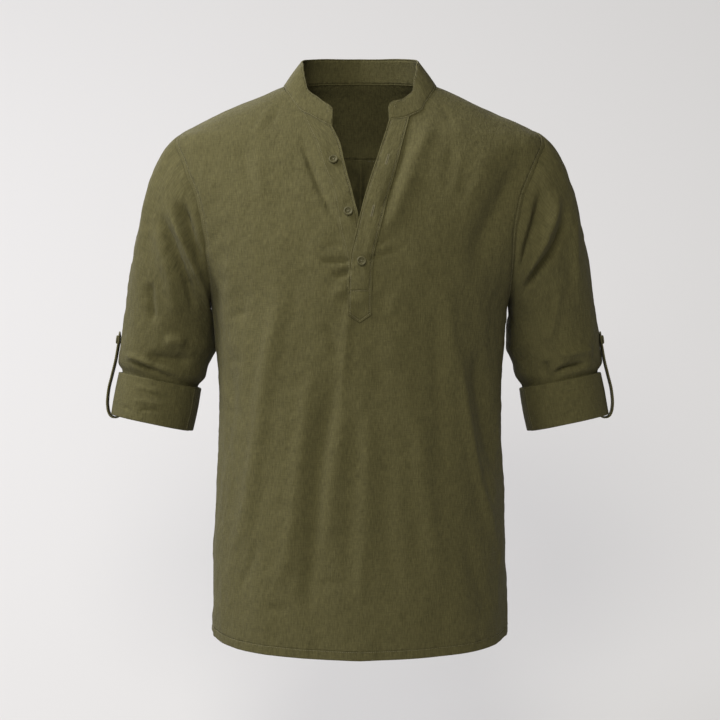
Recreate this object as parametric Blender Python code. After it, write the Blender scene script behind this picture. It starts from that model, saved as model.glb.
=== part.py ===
"""A band collar shirt in linen, filled out with no wearer: a closed solid for each sewn piece and button.

Metres, +Z up. X runs across the shoulders and the front faces -Y. The origin is the middle of the neck
opening, at the height where the collar meets the two shoulders. A place on the body of the shirt is
given by its angle round the body, 0 at the centre front, 90 at the side and 180 at the centre back, and
by its height. Names with left and right are as the shirt is seen from the front.
"""

import math

import bpy
import numpy as np
from mathutils import Vector

# Cloth, as built up in each place
SHELL_WALL = 0.0015
COLLAR_WALL = 0.0024
UNDER_PLACKET_WALL = 0.0016
OVER_PLACKET_WALL = 0.0018
CUFF_WALL = 0.0030
TAB_WALL = 0.0020
SEAM_GAP = 0.0003

# The body with its armholes closed over. Depths run forward and back from the side line, and
# squareness pushes the four corners of a section out by that part of its size.
BODY_COLUMNS = ("height", "half_width", "front_depth", "back_depth", "squareness")
BODY_SECTIONS = (
    (0.0200, 0.0720, 0.0320, 0.0470, 0.000),
    (0.0080, 0.0830, 0.0400, 0.0545, 0.000),
    (0.0000, 0.0925, 0.0460, 0.0600, 0.000),
    (-0.0050, 0.1045, 0.0490, 0.0635, 0.000),
    (-0.0122, 0.1208, 0.0530, 0.0680, 0.000),
    (-0.0317, 0.1645, 0.0640, 0.0790, 0.000),
    (-0.0537, 0.2085, 0.0770, 0.0900, 0.000),
    (-0.0660, 0.2290, 0.0850, 0.0955, 0.000),
    (-0.0800, 0.2370, 0.0935, 0.1010, 0.000),
    (-0.1070, 0.2370, 0.1080, 0.1100, 0.000),
    (-0.1476, 0.2264, 0.1250, 0.1205, 0.000),
    (-0.1806, 0.2150, 0.1340, 0.1255, 0.000),
    (-0.2117, 0.2025, 0.1395, 0.1285, 0.005),
    (-0.2400, 0.1900, 0.1420, 0.1290, 0.015),
    (-0.2611, 0.1815, 0.1430, 0.1285, 0.022),
    (-0.2917, 0.1770, 0.1425, 0.1265, 0.030),
    (-0.3160, 0.1755, 0.1415, 0.1250, 0.035),
    (-0.3450, 0.1728, 0.1400, 0.1235, 0.040),
    (-0.3830, 0.1715, 0.1388, 0.1222, 0.045),
    (-0.4500, 0.1726, 0.1380, 0.1225, 0.050),
    (-0.5050, 0.1742, 0.1382, 0.1240, 0.050),
    (-0.5540, 0.1772, 0.1385, 0.1260, 0.050),
    (-0.6500, 0.1808, 0.1392, 0.1300, 0.050),
    (-0.7200, 0.1818, 0.1395, 0.1325, 0.050),
)

# Neckline and hem: the angle round the body and the height there
NECKLINE_COLUMNS = ("angle", "height")
NECKLINE_RIGHT = (
    (0, -0.0488),
    (10, -0.0486),
    (15, -0.0472),
    (19, -0.0428),
    (25, -0.0360),
    (31, -0.0262),
    (46, -0.0125),
    (66, -0.0035),
    (90, 0.0000),
    (120, 0.0035),
    (150, 0.0066),
    (180, 0.0080),
)
NECKLINE_LEFT = (
    (0, -0.0650),
    (9, -0.0566),
    (14, -0.0494),
    (17, -0.0445),
    (24, -0.0362),
    (31, -0.0262),
) + NECKLINE_RIGHT[6:]
HEM_COLUMNS = ("angle", "height")
HEM = (
    (0, -0.6846),
    (20, -0.6824),
    (35, -0.6796),
    (48, -0.6763),
    (67, -0.6693),
    (80, -0.6655),
    (90, -0.6625),
    (100, -0.6660),
    (116, -0.6745),
    (140, -0.6880),
    (180, -0.6980),
)

# The armhole is an egg-shaped loop in angle and height round the side of the body
ARMHOLE_TOP = -0.0575
UNDERARM = -0.2615
ARMHOLE_HALF_ANGLE = 31.0
ARMHOLE_FULLER_ABOVE = 0.12
SLEEVE_START_SHRINK = 0.995

# The yoke's two seams
SHOULDER_SEAM_AT_NECK = 57.0
SHOULDER_SEAM_TURN = 16.0
SHOULDER_SEAM_BEND = 0.6
YOKE_SEAM_HEIGHT = -0.0830
YOKE_SEAM_DROP = 0.0040

# How far forward or back the body reaches where a seam runs down it
SHOULDER_SEAM_DEPTH = 0.06
SIDE_SEAM_FRONT_DEPTH = 0.14
SIDE_SEAM_BACK_DEPTH = 0.13

# Placket strips: how far each edge stands from the centre line at each height
PLACKET_COLUMNS = ("height", "under_seam", "under_free", "over_free", "over_seam")
PLACKET_EDGES = (
    (-0.040, -0.0690, -0.0390, 0.0365, 0.0600),
    (-0.057, -0.0620, -0.0322, 0.0322, 0.0560),
    (-0.080, -0.0515, -0.0211, 0.0248, 0.0500),
    (-0.100, -0.0455, -0.0158, 0.0187, 0.0452),
    (-0.125, -0.0360, -0.0101, 0.0108, 0.0385),
    (-0.146, -0.0300, -0.0060, 0.0046, 0.0324),
    (-0.168, -0.0265, -0.0012, -0.0008, 0.0270),
    (-0.190, -0.0222, 0.0010, -0.0059, 0.0218),
    (-0.210, -0.0172, 0.0015, -0.0108, 0.0170),
    (-0.226, -0.0156, 0.0015, -0.0127, 0.0152),
    (-0.243, -0.0150, 0.0015, -0.0138, 0.0142),
    (-0.283, -0.0146, 0.0015, -0.0142, 0.0134),
)
OVER_PLACKET_FOOT = -0.2815
OVER_PLACKET_POINT = 0.0095
UNDER_PLACKET_FOOT = -0.2500
PANEL_UNDER_STRIP = 0.0030
SLIT_CLOSES_OVER = 0.0170
NECK_SLIT_HEIGHT = -0.0450
STRIP_NECK_DROP = 0.0012
STRIP_LIFT = 0.0003
OVER_STRIP_LAP_LIFT = 0.0023
LAP_RAMP = 0.38
LAP_ENDS = (-0.2760, -0.2640)

# Collar band: rise and inward lean of its upper edge over the neckline
COLLAR_COLUMNS = ("angle", "rise", "lean")
COLLAR_BAND = (
    (9, 0.0235, 0.0100),
    (20, 0.0245, 0.0165),
    (35, 0.0262, 0.0195),
    (60, 0.0285, 0.0230),
    (90, 0.0308, 0.0226),
    (130, 0.0310, 0.0140),
    (180, 0.0307, 0.0050),
)
COLLAR_CORNER_RADIUS = 0.0100
COLLAR_BULGE = 0.0006
COLLAR_FRONT_STANDS_PROUD = 0.0022
COLLAR_PROUD_FADE = (12, 36)

# Sleeve and cuff rings of the right arm: the outermost and innermost point of each ring, seen from
# the front, and its middle and half size in depth
RING_COLUMNS = ("station", "outer_x", "outer_z", "inner_x", "inner_z", "middle_y", "half_depth")
SLEEVE_RINGS = (
    (0.00, 0.2859, -0.2600, 0.1782, -0.2960, 0.030, 0.0660),
    (0.22, 0.2910, -0.2925, 0.1780, -0.3180, 0.034, 0.0640),
    (0.42, 0.2947, -0.3180, 0.1865, -0.3375, 0.036, 0.0610),
    (0.55, 0.2968, -0.3360, 0.1912, -0.3550, 0.037, 0.0575),
    (0.64, 0.2934, -0.3462, 0.2000, -0.3660, 0.037, 0.0507),
)
SLEEVE_CUFF_STATIONS = (0.68, 0.84, 1.00)
SLEEVE_CUFF_GAP = 0.0006
CUFF_RINGS = (
    (0.0, 0.2970, -0.3485, 0.1965, -0.3685, 0.037, 0.0540),
    (0.5, 0.3022, -0.3745, 0.2008, -0.3945, 0.037, 0.0546),
    (1.0, 0.3065, -0.4010, 0.2070, -0.4215, 0.037, 0.0534),
)
SLEEVE_SLOPE_MIDDLE = 46.0
SLEEVE_SLOPE_SWING = 12.0
SLEEVE_START_FORWARD = 0.25
SLEEVE_START_PULL = 0.62
SLEEVE_END_PULL = 0.85

# Strap that holds the rolled sleeve: its middle line from inside the sleeve, under the cuff and up
TAB_COLUMNS = ("x", "z")
TAB_PATH = (
    (0.2888, -0.3520),
    (0.2932, -0.3720),
    (0.2960, -0.3870),
    (0.2971, -0.3968),
    (0.2981, -0.4022),
    (0.3005, -0.4047),
    (0.3040, -0.4045),
    (0.3072, -0.4030),
    (0.3095, -0.3995),
    (0.3110, -0.3945),
    (0.3117, -0.3858),
    (0.3103, -0.3710),
    (0.3059, -0.3525),
    (0.3014, -0.3340),
    (0.2986, -0.3180),
    (0.2970, -0.3080),
    (0.2966, -0.2985),
)
TAB_HALF_WIDTH = 0.0110
TAB_MIDDLE_Y = 0.0370
TAB_TIP_DROP = 0.0060

# Buttons: a turned disc with a rim and a dished face
BUTTON_RADIUS = 0.0054
BUTTON_THICK = 0.0026
BUTTON_COLUMNS = ("radius_part", "height_part")
BUTTON_PROFILE = (
    (0.55, 0.00),
    (0.86, 0.10),
    (1.00, 0.45),
    (0.98, 0.80),
    (0.86, 1.00),
    (0.70, 0.92),
    (0.52, 0.62),
)
BUTTON_SIDES = 24
PLACKET_BUTTON_COLUMNS = ("x", "z", "lift")
PLACKET_BUTTONS = (
    (-0.0321, -0.0971, UNDER_PLACKET_WALL + STRIP_LIFT),
    (-0.0142, -0.1593, UNDER_PLACKET_WALL + STRIP_LIFT),
    (0.0019, -0.2183, OVER_PLACKET_WALL + OVER_STRIP_LAP_LIFT),
)
TAB_BUTTON_ROW = 15
TAB_BUTTON_MIX = 0.10

# How finely each piece is divided
HALF_COLUMNS = 12
NECK_COLUMNS = 5
SHOULDER_PARTS = HALF_COLUMNS - NECK_COLUMNS
ARMHOLE_ROWS = 10
SIDE_ROWS = 9
YOKE_COLUMNS = 12
YOKE_SEAM_COLUMNS = 7
SLEEVE_CAP_ROWS = 6
TAB_ACROSS = (-1.0, 0.0, 1.0)
PLACKET_ROWS = 14
STRIP_COLUMNS = (0.0, 0.08, 0.25, 0.5, 0.75, 1.0)

SMOOTH_BELOW = 40

OLIVE_CLOTH = (0.110, 0.100, 0.045, 1.0)
OLIVE_BUTTON = (0.085, 0.078, 0.040, 1.0)


def column(table, columns, name):
    """One column of a table, ordered by the table's first column."""
    rows = sorted(table)
    return np.array([row[columns.index(name)] for row in rows], float)


def smooth(at, knots, values):
    """A curve through a table's rows that never overshoots them.

    Each piece is a cubic. Its slope at a row is the harmonic mean of the two neighbouring straight
    slopes, or level where they differ in sign.
    """
    step = np.diff(knots)
    rise = np.diff(values) / step
    same_way = rise[1:] * rise[:-1] > 0
    total = np.where(same_way, rise[1:] + rise[:-1], 1.0)
    inner = np.where(same_way, 2 * rise[1:] * rise[:-1] / total, 0.0)
    slope = np.concatenate([rise[:1], inner, rise[-1:]])
    i = np.clip(np.searchsorted(knots, at, side="right") - 1, 0, len(step) - 1)
    t = (at - knots[i]) / step[i]
    start = (2 * t**3 - 3 * t**2 + 1) * values[i] + (t**3 - 2 * t**2 + t) * step[i] * slope[i]
    end = (3 * t**2 - 2 * t**3) * values[i + 1] + (t**3 - t**2) * step[i] * slope[i + 1]
    return start + end


def read(table, columns, name, at):
    """The value of a column where the table's first column equals at."""
    return smooth(np.asarray(at, float), column(table, columns, columns[0]), column(table, columns, name))


def ease(t):
    """From 0 to 1 with level ends, and held there outside."""
    t = np.clip(t, 0.0, 1.0)
    return t * t * (3 - 2 * t)


def unit(vectors):
    return vectors / np.linalg.norm(vectors, axis=-1, keepdims=True)


def body(angle, height):
    """Points of the body: an oval section at each height, in degrees from the centre front."""
    angle, height = np.broadcast_arrays(np.radians(angle), height)
    size = {name: read(BODY_SECTIONS, BODY_COLUMNS, name, height) for name in BODY_COLUMNS[1:]}
    swell = 1 + size["squareness"] * (1 - np.cos(4 * angle)) / 2
    depth = np.where(np.cos(angle) > 0, size["front_depth"], size["back_depth"])
    x = size["half_width"] * np.sin(angle) * swell
    y = -depth * np.cos(angle) * swell
    return np.stack([x, y, height], axis=-1)


def body_normal(angle, height):
    """Outward directions of the body, from its slopes round and up."""
    turn = 0.5
    climb = 0.0005
    around = body(np.asarray(angle) + turn, height) - body(np.asarray(angle) - turn, height)
    up = body(angle, np.asarray(height) + climb) - body(angle, np.asarray(height) - climb)
    return unit(np.cross(around, up))


def angle_at(x, height):
    """The angle at which the front of the body stands x from the centre line."""
    half_width = read(BODY_SECTIONS, BODY_COLUMNS, "half_width", height)
    squareness = read(BODY_SECTIONS, BODY_COLUMNS, "squareness", height)
    angle = np.arcsin(x / half_width)
    for _ in range(4):
        swell = 1 + squareness * (1 - np.cos(4 * angle)) / 2
        angle = np.arcsin(x / half_width / swell)
    return np.degrees(angle)


def neckline(angle):
    """Height of the neckline, for an angle from 0 to 360 taken round by the right."""
    angle = np.asarray(angle, float)
    right = read(NECKLINE_RIGHT, NECKLINE_COLUMNS, "height", np.minimum(angle, 180))
    left = read(NECKLINE_LEFT, NECKLINE_COLUMNS, "height", np.minimum(360 - angle, 180))
    return np.where(angle <= 180, right, left)


def side_neckline(side, angle):
    """Height of the neckline at an angle from the centre front on the right (1) or left (-1)."""
    return neckline(np.asarray(angle, float) if side > 0 else 360 - np.asarray(angle, float))


def armhole(turn, shrink=1.0):
    """(angle, height) round the armhole, for a turn of 0 at its top, 90 in front, 180 underarm."""
    turn = np.radians(turn)
    middle = (ARMHOLE_TOP + UNDERARM) / 2
    half_height = (ARMHOLE_TOP - UNDERARM) / 2
    fuller = 1 + ARMHOLE_FULLER_ABOVE * np.cos(turn)
    angle = 90 - shrink * ARMHOLE_HALF_ANGLE * np.sin(turn) * fuller
    return angle, middle + shrink * half_height * np.cos(turn)


def shoulder_seam(part, nudge):
    """(angle, height) along the front shoulder seam, part 0 at the neck and 1 at the armhole."""
    end_angle, end_height = armhole(SHOULDER_SEAM_TURN / 2)
    start_height = side_neckline(1, SHOULDER_SEAM_AT_NECK)
    height = start_height + (end_height - start_height) * part
    angle = SHOULDER_SEAM_AT_NECK + (end_angle - SHOULDER_SEAM_AT_NECK) * part**SHOULDER_SEAM_BEND
    return angle + nudge, height


def yoke_seam_turn(height):
    """The turn round the back of the armhole at this height."""
    middle = (ARMHOLE_TOP + UNDERARM) / 2
    half_height = (ARMHOLE_TOP - UNDERARM) / 2
    return 360 - math.degrees(math.acos((height - middle) / half_height))


def half_gap_turn(depth):
    """The angle that moves an edge by half the seam gap, where the body reaches this far forward."""
    return math.degrees(SEAM_GAP / 2 / depth)


def front_arm_turns():
    """Turns down the front of the armhole, from the shoulder seam to the underarm."""
    return np.linspace(SHOULDER_SEAM_TURN / 2, 180, ARMHOLE_ROWS + 1)


def back_arm_turns():
    """Turns down the back of the armhole, from the yoke's back seam to the underarm."""
    return np.linspace(yoke_seam_turn(YOKE_SEAM_HEIGHT - YOKE_SEAM_DROP), 180, ARMHOLE_ROWS + 1)


def yoke_arm_turns():
    """Turns over the top of the armhole, from the yoke's back seam to the front shoulder seam."""
    rows = YOKE_COLUMNS - YOKE_SEAM_COLUMNS
    return np.linspace(back_arm_turns()[0], 360 + SHOULDER_SEAM_TURN / 2, rows + 1)


def places(angle, height):
    """(angle, height) pairs along an edge."""
    return np.stack(np.broadcast_arrays(np.asarray(angle, float), np.asarray(height, float)), axis=-1)


def blend_edges(top, bottom, left, right):
    """A grid inside four edges: the blend across plus the blend down, less the blend of the corners."""
    u = np.linspace(0, 1, len(top))[None, :, None]
    v = np.linspace(0, 1, len(left))[:, None, None]
    down = (1 - v) * top[None] + v * bottom[None]
    across = (1 - u) * left[:, None] + u * right[:, None]
    upper = (1 - u) * top[0] + u * top[-1]
    lower = (1 - u) * bottom[0] + u * bottom[-1]
    return down + across - (1 - v) * upper - v * lower


def grid_faces(rows, columns, wrap=False):
    """Four-sided faces of a grid, with the last column joined to the first where it wraps."""
    number = np.arange(rows * columns).reshape(rows, columns)
    beside = np.roll(number, -1, axis=1) if wrap else number[:, 1:]
    here = number if wrap else number[:, :-1]
    corners = [here[:-1], beside[:-1], beside[1:], here[1:]]
    return np.stack(corners, axis=-1).reshape(-1, 4)


def triangles(points, faces):
    """Each four-sided face cut along its shorter diagonal, without the triangles that have no area."""
    a, b, c, d = faces.T
    first = np.linalg.norm(points[a] - points[c], axis=1) <= np.linalg.norm(points[b] - points[d], axis=1)
    one = np.where(first, [a, b, c], [a, b, d]).T
    two = np.where(first, [a, c, d], [b, c, d]).T
    cut = np.concatenate([one, two])
    whole = (cut[:, 0] != cut[:, 1]) & (cut[:, 1] != cut[:, 2]) & (cut[:, 2] != cut[:, 0])
    return cut[whole]


def weld(points, directions, faces):
    """Joins points that lie in one place."""
    _, first, number = np.unique(np.round(points, 6), axis=0, return_index=True, return_inverse=True)
    return points[first], directions[first], number.reshape(-1)[faces]


def thicken(outer, inward, faces):
    """A closed wall: the outer sheet, the sheet moved by inward, and a strip round every free edge."""
    skin = triangles(outer, faces)
    a, b, c = outer[skin].transpose(1, 0, 2)
    looks_inward = (np.cross(b - a, c - a) * inward[skin[:, 0]]).sum() > 0
    skin = skin[:, ::-1] if looks_inward else skin
    edges = np.concatenate([skin[:, [0, 1]], skin[:, [1, 2]], skin[:, [2, 0]]]).tolist()
    known = set(map(tuple, edges))
    count = len(outer)
    walls = [(b, a, a + count, b + count) for a, b in edges if (b, a) not in known]
    back = skin[:, ::-1] + count
    return np.concatenate([outer, outer + inward]), skin.tolist() + back.tolist() + walls


def material(name, colour, roughness):
    made = bpy.data.materials.new(name)
    made.use_nodes = True
    shader = made.node_tree.nodes["Principled BSDF"]
    shader.inputs["Base Color"].default_value = colour
    shader.inputs["Roughness"].default_value = roughness
    shader.inputs["Metallic"].default_value = 0.0
    return made


def add_object(name, points, faces, finish):
    mesh = bpy.data.meshes.new(name)
    mesh.from_pydata(np.asarray(points).tolist(), [], faces)
    mesh.shade_smooth()
    mesh.set_sharp_from_angle(angle=math.radians(SMOOTH_BELOW))
    mesh.materials.append(finish)
    made = bpy.data.objects.new(name, mesh)
    bpy.context.scene.collection.objects.link(made)
    return made


def side_faces(shape, side):
    """A half's faces, turned round on the left so that both halves look the same way."""
    faces = grid_faces(*shape)
    return faces if side > 0 else faces[:, ::-1]


def add_panel(name, halves, finish):
    """A panel of the body from its halves' grids of (angle, height), signed by side."""
    points, directions, faces = [], [], []
    count = 0
    for side, grid in halves:
        angle, height = side * grid[..., 0], grid[..., 1]
        points.append(body(angle, height).reshape(-1, 3))
        directions.append(-SHELL_WALL * body_normal(angle, height).reshape(-1, 3))
        faces.append(side_faces(grid.shape[:2], side) + count)
        count += grid.shape[0] * grid.shape[1]
    joined = weld(np.concatenate(points), np.concatenate(directions), np.concatenate(faces))
    return add_object(name, *thicken(*joined), finish)


def side_edge(turns, nudge):
    """The armhole through these turns to the underarm, then the side seam down to the hem."""
    arm = places(*armhole(turns))
    arm[-1, 0] += nudge
    foot = read(HEM, HEM_COLUMNS, "height", 90 + nudge)
    side = places(90 + nudge, np.linspace(arm[-1, 1], foot, SIDE_ROWS + 1))
    return np.concatenate([arm, side[1:]])


def slit_edge(side, top):
    """The front's cut edge under its placket strip, from the neckline to the slit's closed end."""
    height = np.linspace(top, UNDERARM, ARMHOLE_ROWS + 1)
    strip = np.abs(strip_edges(side, height)[1]) - PANEL_UNDER_STRIP
    closing = ease((height - UNDERARM) / SLIT_CLOSES_OVER)
    return places(angle_at(strip * closing, height), height)


def front_neck_angles(side):
    """Angles along the front's neckline, from its slit to the shoulder seam."""
    inner_x = abs(float(strip_edges(side, NECK_SLIT_HEIGHT)[1])) - PANEL_UNDER_STRIP
    return np.linspace(float(angle_at(inner_x, NECK_SLIT_HEIGHT)), SHOULDER_SEAM_AT_NECK, NECK_COLUMNS + 1)


def front_half(side):
    """Grid of one half of the front: neckline and shoulder seam above, hem below."""
    nudge = half_gap_turn(SHOULDER_SEAM_DEPTH)
    neck_angle = front_neck_angles(side)
    neck_angle[-1] -= nudge
    neck = places(neck_angle, side_neckline(side, neck_angle) - SEAM_GAP)
    shoulder = places(*shoulder_seam(np.linspace(0, 1, SHOULDER_PARTS + 1), -nudge))
    top = np.concatenate([neck, shoulder[1:]])
    right = side_edge(front_arm_turns(), -half_gap_turn(SIDE_SEAM_FRONT_DEPTH))
    right[0] = top[-1]
    slit = slit_edge(side, neck[0, 1])
    slit[0] = neck[0]
    centre = places(0, np.linspace(UNDERARM, HEM[0][1], SIDE_ROWS + 1))
    hem_angle = np.linspace(0, right[-1, 0], HALF_COLUMNS + 1)
    hem = places(hem_angle, read(HEM, HEM_COLUMNS, "height", hem_angle))
    return blend_edges(top, hem, np.concatenate([slit, centre[1:]]), right)


def yoke_seam_heights(part):
    """Height along the yoke's back seam, part 0 at the centre back."""
    return YOKE_SEAM_HEIGHT - YOKE_SEAM_DROP * np.asarray(part) ** 2


def back_half():
    """Grid of one half of the back, from the centre back round to the side seam."""
    right = side_edge(back_arm_turns(), half_gap_turn(SIDE_SEAM_BACK_DEPTH))
    right[0, 1] -= SEAM_GAP / 2
    part = np.linspace(0, 1, HALF_COLUMNS + 1)
    top = places(180 + (right[0, 0] - 180) * part, yoke_seam_heights(part) - SEAM_GAP / 2)
    top[-1] = right[0]
    hem_angle = 180 + (right[-1, 0] - 180) * part
    hem = places(hem_angle, read(HEM, HEM_COLUMNS, "height", hem_angle))
    level = np.concatenate([
        np.linspace(top[0, 1], UNDERARM, ARMHOLE_ROWS + 1),
        np.linspace(UNDERARM, hem[0, 1], SIDE_ROWS + 1)[1:],
    ])
    return blend_edges(top, hem, places(180, level), right)


def yoke_half(side):
    """Grid of one half of the yoke, from the centre back round the neck to the front shoulder seam."""
    nudge = half_gap_turn(SHOULDER_SEAM_DEPTH)
    neck_angle = np.linspace(180, SHOULDER_SEAM_AT_NECK + nudge, YOKE_COLUMNS + 1)
    top = places(neck_angle, side_neckline(side, neck_angle) - SEAM_GAP)
    shoulder = places(*shoulder_seam(np.linspace(0, 1, SHOULDER_PARTS + 1), nudge))
    shoulder[0] = top[-1]
    arm = places(*armhole(yoke_arm_turns()))
    part = np.linspace(0, 1, YOKE_SEAM_COLUMNS + 1)
    seam = places(180 + (arm[0, 0] - 180) * part, yoke_seam_heights(part) + SEAM_GAP / 2)
    outer = np.concatenate([seam, arm[1:]])
    outer[-1] = shoulder[-1]
    centre = places(180, np.linspace(top[0, 1], seam[0, 1], SHOULDER_PARTS + 1))
    return blend_edges(top, outer, centre, shoulder)


def on_front(x, height, lift):
    """Points on the front of the body, x from the centre line, moved out by lift."""
    angle = angle_at(x, height)
    normal = body_normal(angle, height)
    return body(angle, height) + normal * np.asarray(lift)[..., None], normal


def strip_edges(side, height):
    """How far the free edge and the seam of a placket strip stand from the centre line."""
    names = ("over_free", "over_seam") if side > 0 else ("under_free", "under_seam")
    return [read(PLACKET_EDGES, PLACKET_COLUMNS, name, height) for name in names]


def strip_neck_angles(side):
    """Angles along the neckline at the columns of a placket strip, from its free edge to its seam."""
    height = np.full(len(STRIP_COLUMNS), NECK_SLIT_HEIGHT)
    for _ in range(6):
        free, seam = strip_edges(side, height)
        angle = angle_at(np.abs(free + (seam - free) * np.array(STRIP_COLUMNS)), height)
        height = side_neckline(side, angle)
    return angle


def strip_points(side, foot, part, columns):
    """(x, height) over a placket strip, from its free edge to its seam and from the neck to its foot."""
    top = side_neckline(side, strip_neck_angles(side)) - STRIP_NECK_DROP
    height = top + (foot - top) * part
    free, seam = strip_edges(side, height)
    return free + (seam - free) * columns, height


def over_strip_lift(from_seam, height):
    """How far the over placket's back stands off the front: flat at its seam, raised over the lap."""
    lapped = ease((height - LAP_ENDS[0]) / (LAP_ENDS[1] - LAP_ENDS[0]))
    return STRIP_LIFT + (OVER_STRIP_LAP_LIFT - STRIP_LIFT) * ease(from_seam / LAP_RAMP) * lapped


def add_placket(name, side, finish):
    columns = np.array(STRIP_COLUMNS)[None]
    part = np.linspace(0, 1, PLACKET_ROWS + 1)[:, None]
    if side > 0:
        foot = OVER_PLACKET_FOOT - OVER_PLACKET_POINT * (1 - np.abs(2 * columns - 1))
        x, height = strip_points(side, foot, part, columns)
        lift = over_strip_lift(1 - columns, height) + OVER_PLACKET_WALL
        wall = OVER_PLACKET_WALL
    else:
        x, height = strip_points(side, UNDER_PLACKET_FOOT, part, columns)
        lift = np.full_like(x, STRIP_LIFT + UNDER_PLACKET_WALL)
        wall = UNDER_PLACKET_WALL
    points, normal = on_front(x, height, lift)
    faces = grid_faces(*x.shape)
    solid = thicken(points.reshape(-1, 3), -wall * normal.reshape(-1, 3), faces)
    return add_object(name, *solid, finish)


def collar_edges(angle):
    """The collar's lower and upper edge, at angles from its right end round the back to its left end."""
    folded = np.minimum(angle, 360 - angle)
    front = 1 - ease((folded - COLLAR_PROUD_FADE[0]) / (COLLAR_PROUD_FADE[1] - COLLAR_PROUD_FADE[0]))
    height = neckline(angle)
    lower = body(angle, height) + COLLAR_FRONT_STANDS_PROUD * front[:, None] * body_normal(angle, height)
    inward = unit(np.cross((0.0, 0.0, 1.0), np.gradient(lower, axis=0)))
    lean = read(COLLAR_BAND, COLLAR_COLUMNS, "lean", folded)
    rise = read(COLLAR_BAND, COLLAR_COLUMNS, "rise", folded)
    upper = lower + inward * lean[:, None] + rise[:, None] * (0.0, 0.0, 1.0)
    return lower + (0.0, 0.0, SEAM_GAP), upper


def add_collar(finish):
    """The band between its two edges, bulged a little, with its free top corners rounded off.

    Its foot is cut level, and it is divided where the front and the yoke are, so that their seams have
    the same corners.
    """
    yoke_angles = np.linspace(SHOULDER_SEAM_AT_NECK, 180, YOKE_COLUMNS + 1)[1:]
    right = np.concatenate([strip_neck_angles(1)[:-1], front_neck_angles(1), yoke_angles])
    left = np.concatenate([strip_neck_angles(-1)[:-1], front_neck_angles(-1), yoke_angles[:-1]])
    angle = np.concatenate([np.sort(right), 360 - np.sort(left)[::-1]])
    lower, upper = collar_edges(angle)
    length = np.concatenate([[0], np.cumsum(np.linalg.norm(np.diff(lower, axis=0), axis=1))])
    from_end = np.minimum(length, length[-1] - length)
    into_corner = 1 - np.clip(from_end / COLLAR_CORNER_RADIUS, 0, 1)
    cut = COLLAR_CORNER_RADIUS * (1 - np.sqrt(1 - into_corner**2))
    height = np.linalg.norm(upper - lower, axis=1)
    full = 1 - cut / height
    part = np.array([0.0, 0.5, 1.0])[:, None] * full[None]
    points = lower + (upper - lower) * part[..., None]
    around = np.gradient(points, axis=1)
    up = np.broadcast_to(upper - lower, points.shape)
    outward = unit(np.cross(around, up))
    outward[0] = unit(outward[0] * (1.0, 1.0, 0.0))
    points = points + outward * (COLLAR_BULGE * np.sin(math.pi * part))[..., None]
    faces = grid_faces(*part.shape)
    solid = thicken(points.reshape(-1, 3), -COLLAR_WALL * outward.reshape(-1, 3), faces)
    return add_object("collar_band", *solid, finish)


def sleeve_rings():
    """The sleeve's rings, with those inside the cuff worked out from the cuff's own."""
    inset = CUFF_WALL + SLEEVE_CUFF_GAP
    rows = list(SLEEVE_RINGS)
    for station, cuff_row in zip(SLEEVE_CUFF_STATIONS, CUFF_RINGS):
        _, outer_x, outer_z, inner_x, inner_z, middle_y, depth = cuff_row
        rows.append((station, outer_x - inset, outer_z, inner_x + inset, inner_z, middle_y, depth - inset))
    return tuple(rows)


def ring(table, turn, station):
    """Points round the arm's rings: out and in along the ring's line, front and back by its depth."""
    turn, station = np.broadcast_arrays(np.radians(turn), station)
    at = {name: read(table, RING_COLUMNS, name, station) for name in RING_COLUMNS[1:]}
    out = np.cos(turn)
    x = (at["outer_x"] + at["inner_x"]) / 2 + (at["outer_x"] - at["inner_x"]) / 2 * out
    z = (at["outer_z"] + at["inner_z"]) / 2 + (at["outer_z"] - at["inner_z"]) / 2 * out
    y = at["middle_y"] - at["half_depth"] * np.sin(turn)
    return np.stack([x, y, z], axis=-1)


def sleeve_cap(turn, part):
    """From the armhole (part 0) to the first ring (part 1) along one cubic for each turn.

    It leaves the armhole outwards and down, steeper towards the underarm, and meets the first ring
    along the arm.
    """
    start = body(*armhole(turn, SLEEVE_START_SHRINK))
    rings = sleeve_rings()
    end = ring(rings, turn, 0.0)
    reach = np.linalg.norm(end - start, axis=-1, keepdims=True)
    slope = np.radians(SLEEVE_SLOPE_MIDDLE - SLEEVE_SLOPE_SWING * np.cos(np.radians(turn)))
    forward = -SLEEVE_START_FORWARD * np.sin(np.radians(turn))
    leave = unit(np.stack([np.cos(slope), forward, -np.sin(slope)], axis=-1)) * reach * SLEEVE_START_PULL
    small = 0.02
    arrive = unit(ring(rings, turn, small) - end) * reach * SLEEVE_END_PULL
    t = np.asarray(part)[..., None]
    near = (2 * t**3 - 3 * t**2 + 1) * start + (t**3 - 2 * t**2 + t) * leave
    return near + (3 * t**2 - 2 * t**3) * end + (t**3 - t**2) * arrive


def grid_normals(points):
    """Outward directions over a grid that wraps round an arm, from the steps round and along."""
    around = np.roll(points, -1, axis=1) - np.roll(points, 1, axis=1)
    along = np.gradient(points, axis=0)
    return unit(np.cross(around, along))


def add_tube(name, points, wall, side, finish, turned_in=False):
    """A sleeve or cuff wall from its grid on the right arm, mirrored for the left.

    Where it is turned in, the first row's wall points to the middle of that row's opening.
    """
    outward = grid_normals(points)
    if turned_in:
        outward[0] = unit(points[0] - points[0].mean(axis=0))
    mirror = np.array([side, 1.0, 1.0])
    outer = (points * mirror).reshape(-1, 3)
    inward = (-wall * outward * mirror).reshape(-1, 3)
    faces = grid_faces(*points.shape[:2], wrap=True)
    return add_object(name, *thicken(outer, inward, faces), finish)


def sleeve_turns():
    """Turns round the sleeve, at the same places as the corners of the panels' armholes."""
    front, back, yoke = front_arm_turns(), back_arm_turns(), yoke_arm_turns()
    return np.concatenate([front, back[-2::-1], yoke[1:-1]])


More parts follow.
